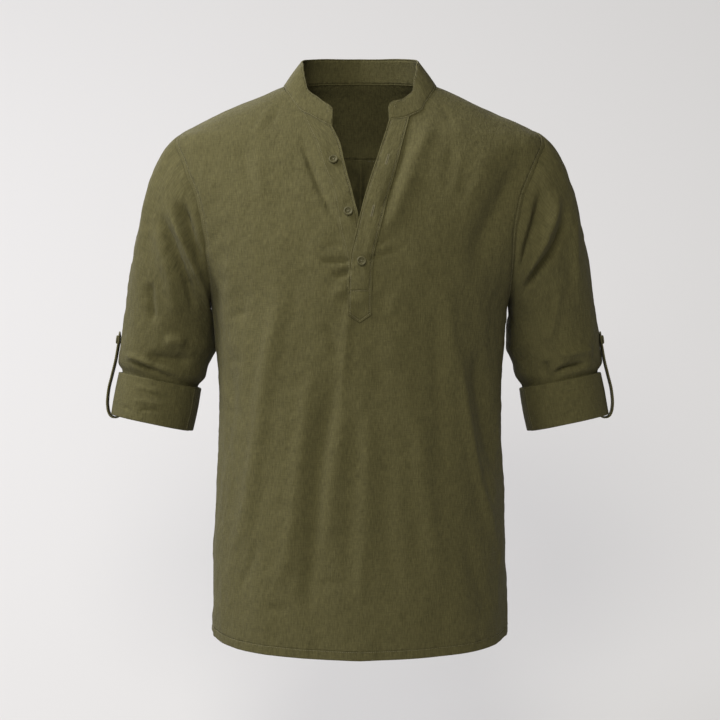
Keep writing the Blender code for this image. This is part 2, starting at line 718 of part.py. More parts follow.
def add_sleeve(name, side, finish):
    turn = sleeve_turns()
    cap_parts = np.linspace(0, 1, SLEEVE_CAP_ROWS + 1)[:, None]
    cap = sleeve_cap(turn[None], cap_parts)
    rings = sleeve_rings()
    stations = column(rings, RING_COLUMNS, "station")[1:, None]
    points = np.concatenate([cap, ring(rings, turn[None], stations)])
    return add_tube(name, points, SHELL_WALL, side, finish, turned_in=True)


def add_cuff(name, side, finish):
    turn = sleeve_turns()
    stations = column(CUFF_RINGS, RING_COLUMNS, "station")[:, None]
    return add_tube(name, ring(CUFF_RINGS, turn[None], stations), CUFF_WALL, side, finish)


def tab_line():
    """The strap's middle line and its outward directions, in x and z."""
    line = np.array(TAB_PATH)
    heading = unit(np.gradient(line, axis=0))
    return line, np.stack([heading[:, 1], -heading[:, 0]], axis=-1)


def add_tab(name, side, finish):
    """The strap: its line carried across its width, with a pointed free end."""
    line, outward = tab_line()
    across = np.array(TAB_ACROSS)[None]
    points = np.empty((len(line), across.size, 3))
    points[..., 0] = line[:, :1] + outward[:, :1] * TAB_WALL / 2
    points[..., 1] = TAB_MIDDLE_Y + TAB_HALF_WIDTH * across
    points[..., 2] = line[:, 1:] + outward[:, 1:] * TAB_WALL / 2
    points[-1, :, 2] -= TAB_TIP_DROP * np.abs(across[0])
    direction = np.zeros_like(points)
    direction[..., 0] = outward[:, :1]
    direction[..., 2] = outward[:, 1:]
    mirror = np.array([side, 1.0, 1.0])
    faces = grid_faces(*points.shape[:2])
    outer = (points * mirror).reshape(-1, 3)
    inward = (-TAB_WALL * direction * mirror).reshape(-1, 3)
    return add_object(name, *thicken(outer, inward, faces), finish)


def button_mesh():
    """The turned disc: its profile carried round, closed by a fan below and one in the dish."""
    around = np.radians(np.arange(BUTTON_SIDES) * 360 / BUTTON_SIDES)
    points = [(0.0, 0.0, 0.0)]
    for radius_part, height_part in BUTTON_PROFILE:
        radius = BUTTON_RADIUS * radius_part
        points += [(radius * math.cos(a), radius * math.sin(a), BUTTON_THICK * height_part) for a in around]
    points.append((0.0, 0.0, BUTTON_THICK * BUTTON_PROFILE[-1][1]))
    faces = (grid_faces(len(BUTTON_PROFILE), BUTTON_SIDES, wrap=True) + 1).tolist()
    last = len(points) - 1
    top = last - BUTTON_SIDES
    for i in range(BUTTON_SIDES):
        j = (i + 1) % BUTTON_SIDES
        faces.append((0, 1 + j, 1 + i))
        faces.append((last, top + i, top + j))
    return points, faces


def add_button(name, centre, outward, finish):
    """A button whose back lies at centre and whose face looks along outward."""
    made = add_object(name, *button_mesh(), finish)
    made.rotation_mode = "QUATERNION"
    made.rotation_quaternion = Vector(outward).to_track_quat("Z", "Y")
    made.location = centre
    return made


def add_placket_buttons(finish):
    for number, (x, height, lift) in enumerate(PLACKET_BUTTONS, start=1):
        point, normal = on_front(np.array(x), np.array(height), lift + SEAM_GAP)
        add_button(f"button_placket_{number}", point, normal, finish)


def add_tab_button(name, side, finish):
    line, outward = tab_line()
    lift = TAB_WALL / 2 + SEAM_GAP
    x, z = line[TAB_BUTTON_ROW] + (line[TAB_BUTTON_ROW - 1] - line[TAB_BUTTON_ROW]) * TAB_BUTTON_MIX
    nx, nz = outward[TAB_BUTTON_ROW]
    add_button(name, (side * (x + nx * lift), TAB_MIDDLE_Y, z + nz * lift), (side * nx, 0.0, nz), finish)


def main():
    for old in list(bpy.data.objects):
        bpy.data.objects.remove(old)
    cloth = material("olive_linen", OLIVE_CLOTH, 0.85)
    plastic = material("olive_button", OLIVE_BUTTON, 0.45)
    add_panel("front", [(1, front_half(1)), (-1, front_half(-1))], cloth)
    add_panel("back", [(1, back_half()), (-1, back_half())], cloth)
    add_panel("yoke", [(1, yoke_half(1)), (-1, yoke_half(-1))], cloth)
    add_placket("placket_over", 1, cloth)
    add_placket("placket_under", -1, cloth)
    add_collar(cloth)
    for name, side in (("right", 1), ("left", -1)):
        add_sleeve(f"sleeve_{name}", side, cloth)
        add_cuff(f"cuff_{name}", side, cloth)
        add_tab(f"tab_{name}", side, cloth)
        add_tab_button(f"button_tab_{name}", side, plastic)
    add_placket_buttons(plastic)


main()
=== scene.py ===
"""A band collar shirt in olive linen, filled out with no wearer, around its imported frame.

Metres, +Z up. X runs across the shoulders and the front faces -Y; left and right are as seen from the
front. Every piece of cloth is a sheet: a grid of points worked out as whole arrays, moved by the cloth's
folds and then given a closed wall. A place on the body of the shirt is its angle round the body, 0 at
the centre front, 90 at the side and 180 at the centre back, and its height. The Shirt tab of the 3D
view's sidebar lists one button for each group of pieces, in the order in which main calls them.
"""

import math

import bpy
import numpy as np
from bpy.props import FloatProperty, FloatVectorProperty, PointerProperty
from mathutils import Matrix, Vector


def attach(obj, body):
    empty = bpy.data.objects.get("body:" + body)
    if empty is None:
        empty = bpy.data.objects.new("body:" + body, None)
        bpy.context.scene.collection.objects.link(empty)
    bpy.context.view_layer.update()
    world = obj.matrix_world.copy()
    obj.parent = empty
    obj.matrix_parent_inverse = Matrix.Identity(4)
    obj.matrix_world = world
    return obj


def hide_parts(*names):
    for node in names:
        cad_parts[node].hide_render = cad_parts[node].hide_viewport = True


bl_info = {
    "name": "Band Collar Shirt",
    "version": (1, 0, 0),
    "blender": (4, 5, 0),
    "location": "3D View > Sidebar > Shirt",
    "description": "Builds an olive linen shirt with its stitching, buttons and studio",
    "category": "Object",
}

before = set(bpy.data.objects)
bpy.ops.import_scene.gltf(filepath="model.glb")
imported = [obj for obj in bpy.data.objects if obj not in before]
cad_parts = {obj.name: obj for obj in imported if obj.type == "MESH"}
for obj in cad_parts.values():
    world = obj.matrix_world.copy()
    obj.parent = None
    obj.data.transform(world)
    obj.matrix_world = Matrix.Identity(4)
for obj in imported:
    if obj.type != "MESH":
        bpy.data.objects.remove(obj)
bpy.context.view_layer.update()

# The body with its armholes closed over. Depths run forward and back from the side line, and
# squareness pushes the four corners of a section out by that part of its size.
BODY_COLUMNS = ("height", "half_width", "front_depth", "back_depth", "squareness")
BODY_SECTIONS = (
    (0.0200, 0.0720, 0.0320, 0.0470, 0.000),
    (0.0080, 0.0830, 0.0400, 0.0545, 0.000),
    (0.0000, 0.0925, 0.0460, 0.0600, 0.000),
    (-0.0050, 0.1045, 0.0490, 0.0635, 0.000),
    (-0.0122, 0.1208, 0.0530, 0.0680, 0.000),
    (-0.0317, 0.1645, 0.0640, 0.0790, 0.000),
    (-0.0537, 0.2085, 0.0770, 0.0900, 0.000),
    (-0.0660, 0.2290, 0.0850, 0.0955, 0.000),
    (-0.0800, 0.2370, 0.0935, 0.1010, 0.000),
    (-0.1070, 0.2370, 0.1080, 0.1100, 0.000),
    (-0.1476, 0.2264, 0.1250, 0.1205, 0.000),
    (-0.1806, 0.2150, 0.1340, 0.1255, 0.000),
    (-0.2117, 0.2025, 0.1395, 0.1285, 0.005),
    (-0.2400, 0.1900, 0.1420, 0.1290, 0.015),
    (-0.2611, 0.1815, 0.1430, 0.1285, 0.022),
    (-0.2917, 0.1770, 0.1425, 0.1265, 0.030),
    (-0.3160, 0.1755, 0.1415, 0.1250, 0.035),
    (-0.3450, 0.1728, 0.1400, 0.1235, 0.040),
    (-0.3830, 0.1715, 0.1388, 0.1222, 0.045),
    (-0.4500, 0.1726, 0.1380, 0.1225, 0.050),
    (-0.5050, 0.1742, 0.1382, 0.1240, 0.050),
    (-0.5540, 0.1772, 0.1385, 0.1260, 0.050),
    (-0.6500, 0.1808, 0.1392, 0.1300, 0.050),
    (-0.7200, 0.1818, 0.1395, 0.1325, 0.050),
)

# Neckline and hem: the angle round the body and the height there
NECKLINE_COLUMNS = ("angle", "height")
NECKLINE_RIGHT = (
    (0, -0.0488),
    (10, -0.0486),
    (15, -0.0472),
    (19, -0.0428),
    (25, -0.0360),
    (31, -0.0262),
    (46, -0.0125),
    (66, -0.0035),
    (90, 0.0000),
    (120, 0.0035),
    (150, 0.0066),
    (180, 0.0080),
)
NECKLINE_LEFT = (
    (0, -0.0650),
    (9, -0.0566),
    (14, -0.0494),
    (17, -0.0445),
    (24, -0.0362),
    (31, -0.0262),
) + NECKLINE_RIGHT[6:]
HEM_COLUMNS = ("angle", "height")
HEM = (
    (0, -0.6846),
    (20, -0.6824),
    (35, -0.6796),
    (48, -0.6763),
    (67, -0.6693),
    (80, -0.6655),
    (90, -0.6625),
    (100, -0.6660),
    (116, -0.6745),
    (140, -0.6880),
    (180, -0.6980),
)

# The armhole is an egg-shaped loop in angle and height round the side of the body
ARMHOLE_TOP = -0.0575
UNDERARM = -0.2615
ARMHOLE_HALF_ANGLE = 31.0
ARMHOLE_FULLER_ABOVE = 0.12
ARMHOLE_MIDDLE = (ARMHOLE_TOP + UNDERARM) / 2
ARMHOLE_HALF_HEIGHT = (ARMHOLE_TOP - UNDERARM) / 2
ARMHOLE_HALF_DEPTH = 0.0680
NEARLY_NONE = 0.01

# The yoke's two seams
SHOULDER_SEAM_AT_NECK = 57.0
SHOULDER_SEAM_TURN = 16.0
SHOULDER_SEAM_BEND = 0.6
YOKE_SEAM_HEIGHT = -0.0830
YOKE_SEAM_DROP = 0.0040

# Placket strips: how far each edge stands from the centre line at each height
PLACKET_COLUMNS = ("height", "under_seam", "under_free", "over_free", "over_seam")
PLACKET_EDGES = (
    (-0.040, -0.0690, -0.0390, 0.0365, 0.0600),
    (-0.057, -0.0620, -0.0322, 0.0322, 0.0560),
    (-0.080, -0.0515, -0.0211, 0.0248, 0.0500),
    (-0.100, -0.0455, -0.0158, 0.0187, 0.0452),
    (-0.125, -0.0360, -0.0101, 0.0108, 0.0385),
    (-0.146, -0.0300, -0.0060, 0.0046, 0.0324),
    (-0.168, -0.0265, -0.0012, -0.0008, 0.0270),
    (-0.190, -0.0222, 0.0010, -0.0059, 0.0218),
    (-0.210, -0.0172, 0.0015, -0.0108, 0.0170),
    (-0.226, -0.0156, 0.0015, -0.0127, 0.0152),
    (-0.243, -0.0150, 0.0015, -0.0138, 0.0142),
    (-0.283, -0.0146, 0.0015, -0.0142, 0.0134),
)
OVER_PLACKET_FOOT = -0.2815
OVER_PLACKET_POINT = 0.0095
UNDER_PLACKET_FOOT = -0.2500
PANEL_UNDER_STRIP = 0.0030
SLIT_CLOSES_OVER = 0.0170
NECK_SLIT_HEIGHT = -0.0450
LAP_RAMP = 0.38
LAP_ENDS = (-0.2760, -0.2640)

# Collar band: rise and inward lean of its upper edge over the neckline
COLLAR_COLUMNS = ("angle", "rise", "lean")
COLLAR_BAND = (
    (9, 0.0235, 0.0100),
    (20, 0.0245, 0.0165),
    (35, 0.0262, 0.0195),
    (60, 0.0285, 0.0230),
    (90, 0.0308, 0.0226),
    (130, 0.0310, 0.0140),
    (180, 0.0307, 0.0050),
)
COLLAR_CORNER_RADIUS = 0.0100
COLLAR_BULGE = 0.0006
COLLAR_FRONT_STANDS_PROUD = 0.0022
COLLAR_PROUD_FADE = (12, 36)

# Sleeve and cuff rings of the right arm: the outermost and innermost point of each ring, seen from
# the front, and its middle and half size in depth
RING_COLUMNS = ("station", "outer_x", "outer_z", "inner_x", "inner_z", "middle_y", "half_depth")
SLEEVE_RINGS = (
    (0.00, 0.2859, -0.2600, 0.1782, -0.2960, 0.030, 0.0660),
    (0.22, 0.2910, -0.2925, 0.1780, -0.3180, 0.034, 0.0640),
    (0.42, 0.2947, -0.3180, 0.1865, -0.3375, 0.036, 0.0610),
    (0.55, 0.2968, -0.3360, 0.1912, -0.3550, 0.037, 0.0575),
    (0.64, 0.2934, -0.3462, 0.2000, -0.3660, 0.037, 0.0507),
)
SLEEVE_CUFF_STATIONS = (0.68, 0.84, 1.00)
CUFF_RINGS = (
    (0.0, 0.2970, -0.3485, 0.1965, -0.3685, 0.037, 0.0540),
    (0.5, 0.3022, -0.3745, 0.2008, -0.3945, 0.037, 0.0546),
    (1.0, 0.3065, -0.4010, 0.2070, -0.4215, 0.037, 0.0534),
)
SLEEVE_SLOPE_MIDDLE = 46.0
SLEEVE_SLOPE_SWING = 12.0
SLEEVE_START_FORWARD = 0.25
SLEEVE_START_PULL = 0.62
SLEEVE_END_PULL = 0.85

# Strap that holds the rolled sleeve: its middle line in (x, z) from inside the sleeve, under the cuff
# and up
TAB_PATH = (
    (0.2888, -0.3520),
    (0.2932, -0.3720),
    (0.2960, -0.3870),
    (0.2971, -0.3968),
    (0.2981, -0.4022),
    (0.3005, -0.4047),
    (0.3040, -0.4045),
    (0.3072, -0.4030),
    (0.3095, -0.3995),
    (0.3110, -0.3945),
    (0.3117, -0.3858),
    (0.3103, -0.3710),
    (0.3059, -0.3525),
    (0.3014, -0.3340),
    (0.2986, -0.3180),
    (0.2970, -0.3080),
    (0.2966, -0.2985),
)
TAB_END = len(TAB_PATH) - 1
TAB_HALF_WIDTH = 0.0110
TAB_MIDDLE_Y = 0.0370
TAB_TIP_START = 14.0
TAB_TIP_DROP = 0.0060
TAB_LINE_STEP = 0.5

# Buttons: a turned disc with a rim and a dished face. The profile is in parts of the radius and the
# thickness, and those of the placket stand at (x, height) and are lifted off the cloth
BUTTON_RADIUS = 0.0054
BUTTON_THICK = 0.0026
BUTTON_PROFILE = (
    (0.55, 0.00),
    (0.88, 0.10),
    (1.00, 0.42),
    (0.97, 0.80),
    (0.86, 1.00),
    (0.74, 0.97),
    (0.62, 0.72),
    (0.52, 0.42),
    (0.42, 0.34),
    (0.32, 0.34),
    (0.22, 0.36),
    (0.12, 0.38),
    (0.02, 0.38),
)
PLACKET_BUTTONS = (
    (-0.0311, -0.0987, 0.0022),
    (-0.0135, -0.1610, 0.0022),
    (0.0019, -0.2194, 0.0044),
)

# Walls of the cloth as it is seen, how far the sleeve lies inside its cuff, and the station by which
# it lies half its wall inside its rings
PANEL_WALL = 0.0009
STRIP_WALL = 0.0013
COLLAR_WALL = 0.0024
CUFF_WALL = 0.0030
TAB_WALL = 0.0020
SLEEVE_IN_CUFF = 0.0038
SLEEVE_SETTLES_BY = 0.05

# How the pieces meet: the panels run up behind the collar's foot, and the strips lie on the front
NECK_TUCK = 0.0008
COLLAR_TUCK = 0.0008
COLLAR_PROUD = 0.0007
COLLAR_CHORD = 9.0
UNDER_LIFT = 0.0008
OVER_SEAM_LIFT = 0.0010
OVER_LAP_LIFT = 0.0032
LAP_TOP = -0.0750
LAP_TOP_FADE = 0.0450

# Rows of stitches: how far each lies from its edge and off the cloth, where some start and end along
# their seams, and one stitch, as parts of the pitch and of its own half length and radius
HEM_STITCH = 0.0100
ARMHOLE_STITCH = 0.0050
STRIP_STITCH = 0.0028
EDGE_STITCH = 0.0018
STITCH_LIFT = 0.0001
PLACKET_BAR_HEIGHT = -0.2538
RUN_POINTS = 400
SHOULDER_STITCH_ENDS = (0.02, 0.96)
YOKE_STITCH_END = 0.97
CUFF_STITCH_ENDS = (0.04, 0.96)
CUFF_STITCH_POINTS = 24
COLLAR_END_INSET = 2.2
TAB_STITCH_ENDS = (3.0, 15.7)
STITCH_HALF_SHARE = 0.40
STITCH_RINGS = ((0.55, 0.75), (0.0, 1.0), (-0.55, 0.75))
STITCH_SIDES = 6
FAR_FROM_STITCHES = 1.0

# The under strip's free edge is drawn in beside its first button
DRAWN_IN = 0.0024
DRAWN_AT = -0.104
DRAWN_OVER = 0.030

# Buttonholes of the over strip, with their threads and slits as parts of the hole's size
BUTTONHOLE_HEIGHTS = (-0.0993, -0.1612)
BUTTONHOLE_COLUMN = 0.50
BUTTONHOLE_LENGTH = 0.0130
BUTTONHOLE_HALF_WIDTH = 0.0008
BUTTONHOLE_THREADS = 24
BUTTONHOLE_THREAD_REACH = 0.9
BUTTONHOLE_THREAD_THICK = 0.6
SLIT_GAPE = 0.0007
SLIT_LENGTH = 0.9
SLIT_BLUNT = 0.04
SLIT_ROWS = 13
SLIT_COLUMNS = 5

# Ridge of the arm's seam on the cuff, and the cuff's small creases
CUFF_SEAM_TURN = 154.0
CUFF_SEAM_RADIUS = 0.0520
CUFF_SEAM_WIDTH = 0.0024
CUFF_SEAM_HEIGHT = 0.0006
CUFF_HANG = 0.45
CUFF_NOISE_SHIFT = 0.37

# Folds: how the roll of a crease is scaled, its two fading ends, how finely it is followed and how
# many widths away it reaches, and where facing front ends
ROLL_GAIN = 1.65
FOLD_SHARPNESS = 0.82
FOLD_END_FADE = 0.3
FOLD_STEPS = 4
FOLD_REACH = 3
FACING_FADE = 0.45

# Uneven hang: the size of its swells in x, y and z and their share, from the longest down to the
# finest, then what the sides add, how the shoulders press the finer two, and what the neck leaves
HANG_SWELLS = (
    (0.0520, 0.0520, 0.2400, 1.00),
    (0.0230, 0.0230, 0.0700, 0.55),
    (0.0110, 0.0110, 0.0150, 0.33),
    (0.0052, 0.0052, 0.0068, 0.13),
)
SIDE_HANG = 0.5
SHOULDER_CALM = 0.65
SHOULDER_FADE = (-0.13, -0.04)
NECK_RELIEF = 0.15
NECK_FADE = 0.0350
SLEEVE_START_FADE = 0.0300
SLEEVE_FADE = (0.54, 0.11)
COLLAR_WAVE = 0.0005
COLLAR_WAVE_SIZE = 0.0300
COLLAR_WAVE_SEED = 5

# Whole numbers that scramble a corner's place, its seed and then its bits into a value of noise
SCRAMBLE_PLACE = (73856093, 19349663, 83492791)
SCRAMBLE_SEED = 2654435761
SCRAMBLE_BITS = (1540483477, 2246822519)
NOISE_VALUES = 32767.5

# How finely each sheet is divided, with the lengths that its closer rows are measured against
HALF_COLUMNS = 88
BODY_ROWS = 190
YOKE_COLUMNS = 92
YOKE_ROWS = 56
STRIP_COLUMNS = 24
STRIP_ROWS = 130
COLLAR_COLUMNS_ROUND = 300
COLLAR_ROWS = 24
ARM_TURNS = 150
CAP_ROWS = 72
SLEEVE_ROWS = 56
CUFF_ROWS = 34
TAB_ROWS = 110
TAB_COLUMNS = 16
NECK_SHARE = 0.42
ARM_SHARE = 0.36
YOKE_SEAM_SHARE = 0.58
HALF_WIDTH = 0.2600
BODY_LENGTH = 0.6300
YOKE_LENGTH = 0.1100
STRIP_WIDTH = 0.0280
STRIP_LENGTH = 0.2300
COLLAR_LENGTH = 0.4300
COLLAR_HEIGHT = 0.0330
CAP_LENGTH = 0.2000
CUFF_HEIGHT = 0.0530
TAB_LENGTH = 0.1600
PANEL_FINE = (0.0005, 0.0016, 0.0040)
STRIP_FINE = (0.0003, 0.0007, 0.0020)
SLAB_FINE = (0.0003, 0.0008, 0.0016)
ALL_EDGES = ("top", "bottom", "left", "right")
CHEST_HEIGHT = -0.2000
CUT_STEPS = 13

# Small steps over which a slope is measured, and how often a place that rests on itself is worked out
ANGLE_STEP = 0.5
HEIGHT_STEP = 0.0005
ARMHOLE_STEP = 0.05
STATION_STEP = 0.02
ANGLE_ROUNDS = 4
STRIP_ROUNDS = 6

# Buttons, their holes and threads
BUTTON_RINGS = 49
BUTTON_SIDES = 48
BUTTON_FACE_FROM = 0.60
BUTTON_HOLE_AT = 0.0012
BUTTON_HOLE_RADIUS = 0.00045
BUTTON_HOLE_DEEP = 0.0008
BUTTON_HOLE_TURNS = (45, 135, 225, 315)
BUTTON_THREAD_HEIGHT = 0.50
BUTTON_THREAD_REACH = 0.0015
BUTTON_THREAD_RADIUS = 0.00022
SHANK_THREADS = 6
SHANK_SPREAD = 0.0008
SHANK_DROP = 0.0004
SHANK_LENGTH = 0.0016
SHANK_THREAD_RADIUS = 0.00033
BUTTON_CLEAR = 0.0003
TAB_BUTTON_AT = 14.9

# Linen: thick places of the threads, per metre along and across them, crumples, mottling and puckers
SLUB_ALONG = 110.0
SLUB_ACROSS = 800.0
WEFT_SHARE = 0.6
CRUMPLE_SCALE = (200.0, 105.0, 1.0)
CRUMPLE_HEIGHT = 9.5
CRUMPLE_DETAIL = 1.5
SLUB_DETAIL = 2.0
SLUB_HEIGHT = 2.8
SLUB_TONE = 0.90
MOTTLE_SCALE = 75.0
MOTTLE_DETAIL = 3.0
MOTTLE_TONE = 0.22
PUCKER_SCALE = 260.0
PUCKER_HEIGHT = 1.2
PUCKER_SPREAD = 4.0
LINEN_SPECULAR = 0.12
LINEN_SHEEN = 0.02
LINEN_SHEEN_ROUGHNESS = 0.5

# The other finishes
THREAD_ROUGHNESS = 0.75
# The buttonhole slits are painted shade: a nearly black colour laid where the inside of the hole is in shade
SLIT_SHADE_COLOUR = (0.020, 0.017, 0.007, 1.0)
SLIT_GRAIN_SCALE = 900.0
SLIT_ROUGHNESS = 0.95
CLOUD_SCALE = 420.0
CLOUD_DETAIL = 2.0
CLOUD_TONE = 0.5
CLOUD_DARKEST = 0.75
BUTTON_SPECULAR = 0.22

# Flat cuts of the placket strips, width by length
OVER_CUT = (0.0290, 0.2500)
UNDER_CUT = (0.0290, 0.2150)

# Studio
SENSOR = 36.0
CAMERA_PLACE = (0.0, -3.0, -0.334)
PICTURE_WIDTH = 0.8784
STAGE_HALF_WIDTH = 7.0
PAPER_PROFILE = ((-9.0, -1.10), (-0.02, -1.10), (3.70, 2.00))
PAPER_GLOW = 0.40
PAPER_GLOW_COLOUR = (1.0, 0.99, 0.995, 1.0)
SEEN_AIR = (0.78, 0.77, 0.775, 1.0)
FELT_AIR = (0.90, 0.80, 0.46, 1.0)

# Soft lights: the name, the place, what each faces, its width across and its colour
LIGHTS = (
    ("side", (-1.81, -0.32, 1.64), (0.0, 0.0, -0.20), 1.1, (0.99, 0.99, 1.06)),
    ("front", (-0.40, -2.56, 1.30), (0.0, 0.0, -0.20), 1.6, (1.00, 0.98, 0.90)),
    ("low", (-2.53, -3.02, 0.25), (0.0, 0.0, -0.50), 0.7, (1.0, 1.0, 1.0)),
    ("back", (-1.10, 3.60, 2.40), (0.0, 0.0, -0.30), 1.8, (1.0, 1.0, 1.0)),
)

# Which arm is which: its name and its side, as the sign of x
ARMS = (("right", 1), ("left", -1))

# Creases, in millimetres: width, depth (ridges above 0), roll (raised on the right of a path that runs
# down) and the path as (x, z). Those of the back are given as they would be seen from the front through
# the cloth
MM = 0.001
BACK_FOLDS = (
    # centre pleat below the yoke, with its two edges
    (3.8, -2.2, 0, ((0, -70), (1, -110), (0, -150), (-1, -205))),
    (6, 1.2, 0, ((9, -75), (10, -130), (8, -200))),
    (6, 1.2, 0, ((-9, -75), (-10, -130), (-9, -200))),
    # long folds that fall from the shoulder blades
    (17.4, -3.2, 0, ((48, -230), (56, -380), (62, -520), (66, -660))),
    (16, 2.8, 0, ((-45, -220), (-50, -380), (-52, -600))),
    (19, -2.8, 0, ((-100, -240), (-98, -380), (-95, -520), (-100, -640))),
    (15, 2.8, 0, ((100, -260), (105, -400), (112, -600))),
    (14, -2.6, 0, ((150, -200), (140, -280), (146, -400), (152, -560))),
    (14, 2.4, 0, ((-150, -210), (-145, -300), (-148, -480))),
    # pulls across the small of the back and from the armholes
    (7, -1, 0.4, ((-120, -290), (-60, -275), (-10, -268))),
    (7, -0.9, 0.4, ((20, -310), (70, -300), (120, -308))),
    (11, -2.4, 0.4, ((172, -130), (145, -165), (118, -225))),
    (11, -2.2, -0.4, ((-170, -140), (-145, -180), (-120, -245))),
    (9, 1.6, 0, ((158, -115), (130, -150), (102, -205))),
    (9, 1.6, 0, ((-156, -120), (-130, -158), (-106, -215))),
)
FRONT_FOLDS = (
    # ridge beside the lap
    (12.5, 2.3, 0, ((83, -35), (80, -58), (66, -98), (51, -137), (35, -175), (27, -202))),
    # hollow between that ridge and the lap
    (5, -0.7, 0, ((62, -53), (52, -93), (38, -132), (26, -164))),
    # hollow outside that ridge
    (11, -2.6, 0, ((135, -307), (143, -366), (152, -431), (164, -481))),
    # drape crease from the left of the neck
    (4.2, -2.3, 0.3, ((-73, -58), (-61, -97), (-49, -128), (-36, -155), (-22, -175))),
    # swell under that crease
    (9, 0.7, 0, ((-49, -70), (-39, -109), (-27, -148))),
    # crease left of the third button
    (3.4, -1.9, 0.2, ((-48, -219), (-30, -219), (-7, -219))),
    # crease above it
    (3.6, -0.7, 0.1, ((-44, -201), (-30, -200), (-12, -202))),
    # dimple left of the lap
    (5, -2.2, 0.2, ((-32, -237), (-22, -234), (-9, -229))),
    # bump below the dimple
    (6.5, 1.3, 0, ((-37, -259), (-26, -255), (-14, -249))),
    # crease right of the third button
    (3.6, -1.8, 0.2, ((7, -218), (23, -211), (47, -204))),
    # crease above that
    (3.6, -1, 0, ((13, -202), (26, -195), (42, -189))),
    # pull from the bar to the left
    (5.5, -1.1, 0, ((-42, -292), (-33, -308), (-29, -339))),
    # ridge from the placket's left edge
    (6.5, 1.3, 0, ((-10, -255), (-15, -297), (-20, -350), (-25, -408))),
    # hollow right of the placket
    (7, -0.9, 0, ((21, -252), (25, -265), (23, -281))),
    # bump right of the placket
    (8, 0.9, 0, ((41, -255), (37, -271), (35, -286))),
    # broad bump below the placket
    (16, 1.1, 0, ((39, -292), (35, -318), (31, -350))),
    # long ridge on the left
    (12.5, 3, 0, ((-84, -228), (-97, -286), (-108, -339), (-117, -404), (-128, -479), (-141, -541),
        (-156, -569))),
    # ridge on the left of the middle
    (11.5, 1.9, 0, ((-46, -307), (-57, -360), (-66, -413), (-72, -467), (-78, -520), (-88, -573),
        (-104, -621))),
    # deep trough left of the middle
    (12, -3, 0, ((-23, -331), (-35, -382), (-45, -429), (-51, -493), (-56, -551), (-62, -615), (-66, -652))),
    # ridge right of that trough
    (13, 1.5, 0, ((-15, -360), (-23, -413), (-33, -466), (-39, -519), (-42, -578))),
    # shallow trough at the middle
    (11, -1.2, 0, ((-3, -382), (-7, -434), (-12, -493), (-15, -551), (-18, -614))),
    # ridge at the middle
    (11, 1.2, 0, ((11, -387), (9, -434), (6, -519), (4, -572), (2, -641))),
    # trough right of the middle
    (12, -1.3, 0, ((30, -413), (30, -466), (29, -519), (36, -572), (46, -630))),
    # long ridge right of the middle
    (13.5, 2, 0, ((59, -339), (68, -414), (74, -467), (81, -520), (89, -573), (96, -637))),
    # trough below the right chest
    (11, -1.3, 0, ((84, -254), (88, -307), (91, -361), (97, -424), (106, -499))),
    # ridge below the right chest
    (11, 1.5, 0, ((102, -233), (104, -286), (109, -339), (115, -382))),
    # sharp ridge on the right
    (6.5, 2.2, 0.3, ((113, -307), (118, -345), (125, -393), (133, -441), (145, -493), (159, -540),
        (172, -585))),
    # hollow outside that ridge
    (11, -1.5, 0, ((135, -318), (146, -372), (157, -432), (169, -482))),
    # hollow at the right hem
    (12, -1.4, 0, ((117, -521), (131, -570), (146, -614), (156, -647))),
    # hollow from the right shoulder
    (17, -4.4, 0, ((199, -72), (185, -109), (170, -140), (155, -173), (143, -205), (137, -238))),
    # swell inside that hollow
    (15, 1, 0, ((162, -68), (146, -108), (133, -146), (122, -179))),
    # hollow on the left chest
    (8, -1, 0, ((-145, -74), (-138, -97), (-132, -119), (-123, -141))),
    # swell beside it
    (9, 0.8, 0, ((-125, -86), (-117, -119), (-113, -152))),
    # left armhole hollow
    (12, -0.8, 0, ((-169, -167), (-164, -199), (-161, -226))),
    # swell on the left flank
    (11, 1, 0, ((-158, -237), (-160, -269), (-162, -301))),
    # dent on the left flank
    (8, -0.8, 0, ((-133, -243), (-137, -270), (-141, -296))),
    # small pull on the left flank
    (4.5, -0.8, 0, ((-161, -286), (-146, -281), (-129, -275))),
    # second small pull on the left flank
    (4.5, -0.7, 0, ((-163, -339), (-149, -335), (-135, -339))),
    # third small pull on the left flank
    (4.5, -0.7, 0, ((-164, -397), (-152, -395), (-138, -397))),
    # left flank trough
    (9, -1.5, 0, ((-151, -318), (-153, -372), (-157, -426), (-164, -481))),
    # pull at the left hem
    (6, -0.9, 0, ((-118, -542), (-129, -575), (-146, -614))),
    # crumple at the hem
    (6, -0.8, 0, ((-51, -596), (-35, -593), (-16, -599))),
    # second crumple at the hem
    (6, -0.7, 0, ((-113, -622), (-96, -626), (-80, -623))),
    # third crumple at the hem
    (6, 0.8, 0, ((68, -604), (84, -613), (101, -611))),
    # gather at the left neck
    (4.5, -0.9, 0.3, ((-89, -17), (-100, -40), (-109, -61))),
    # second gather at the left neck
    (6, 0.8, 0, ((-102, -22), (-116, -46), (-128, -69))),
    # gather at the right neck
    (5, -0.8, 0.3, ((95, -23), (104, -40), (114, -63))),
    # streak on the right chest
    (6, -0.4, 0, ((110, -69), (104, -103), (101, -136))),
    # second streak on the right chest
    (6, 0.4, 0, ((121, -80), (115, -114), (111, -147))),
)
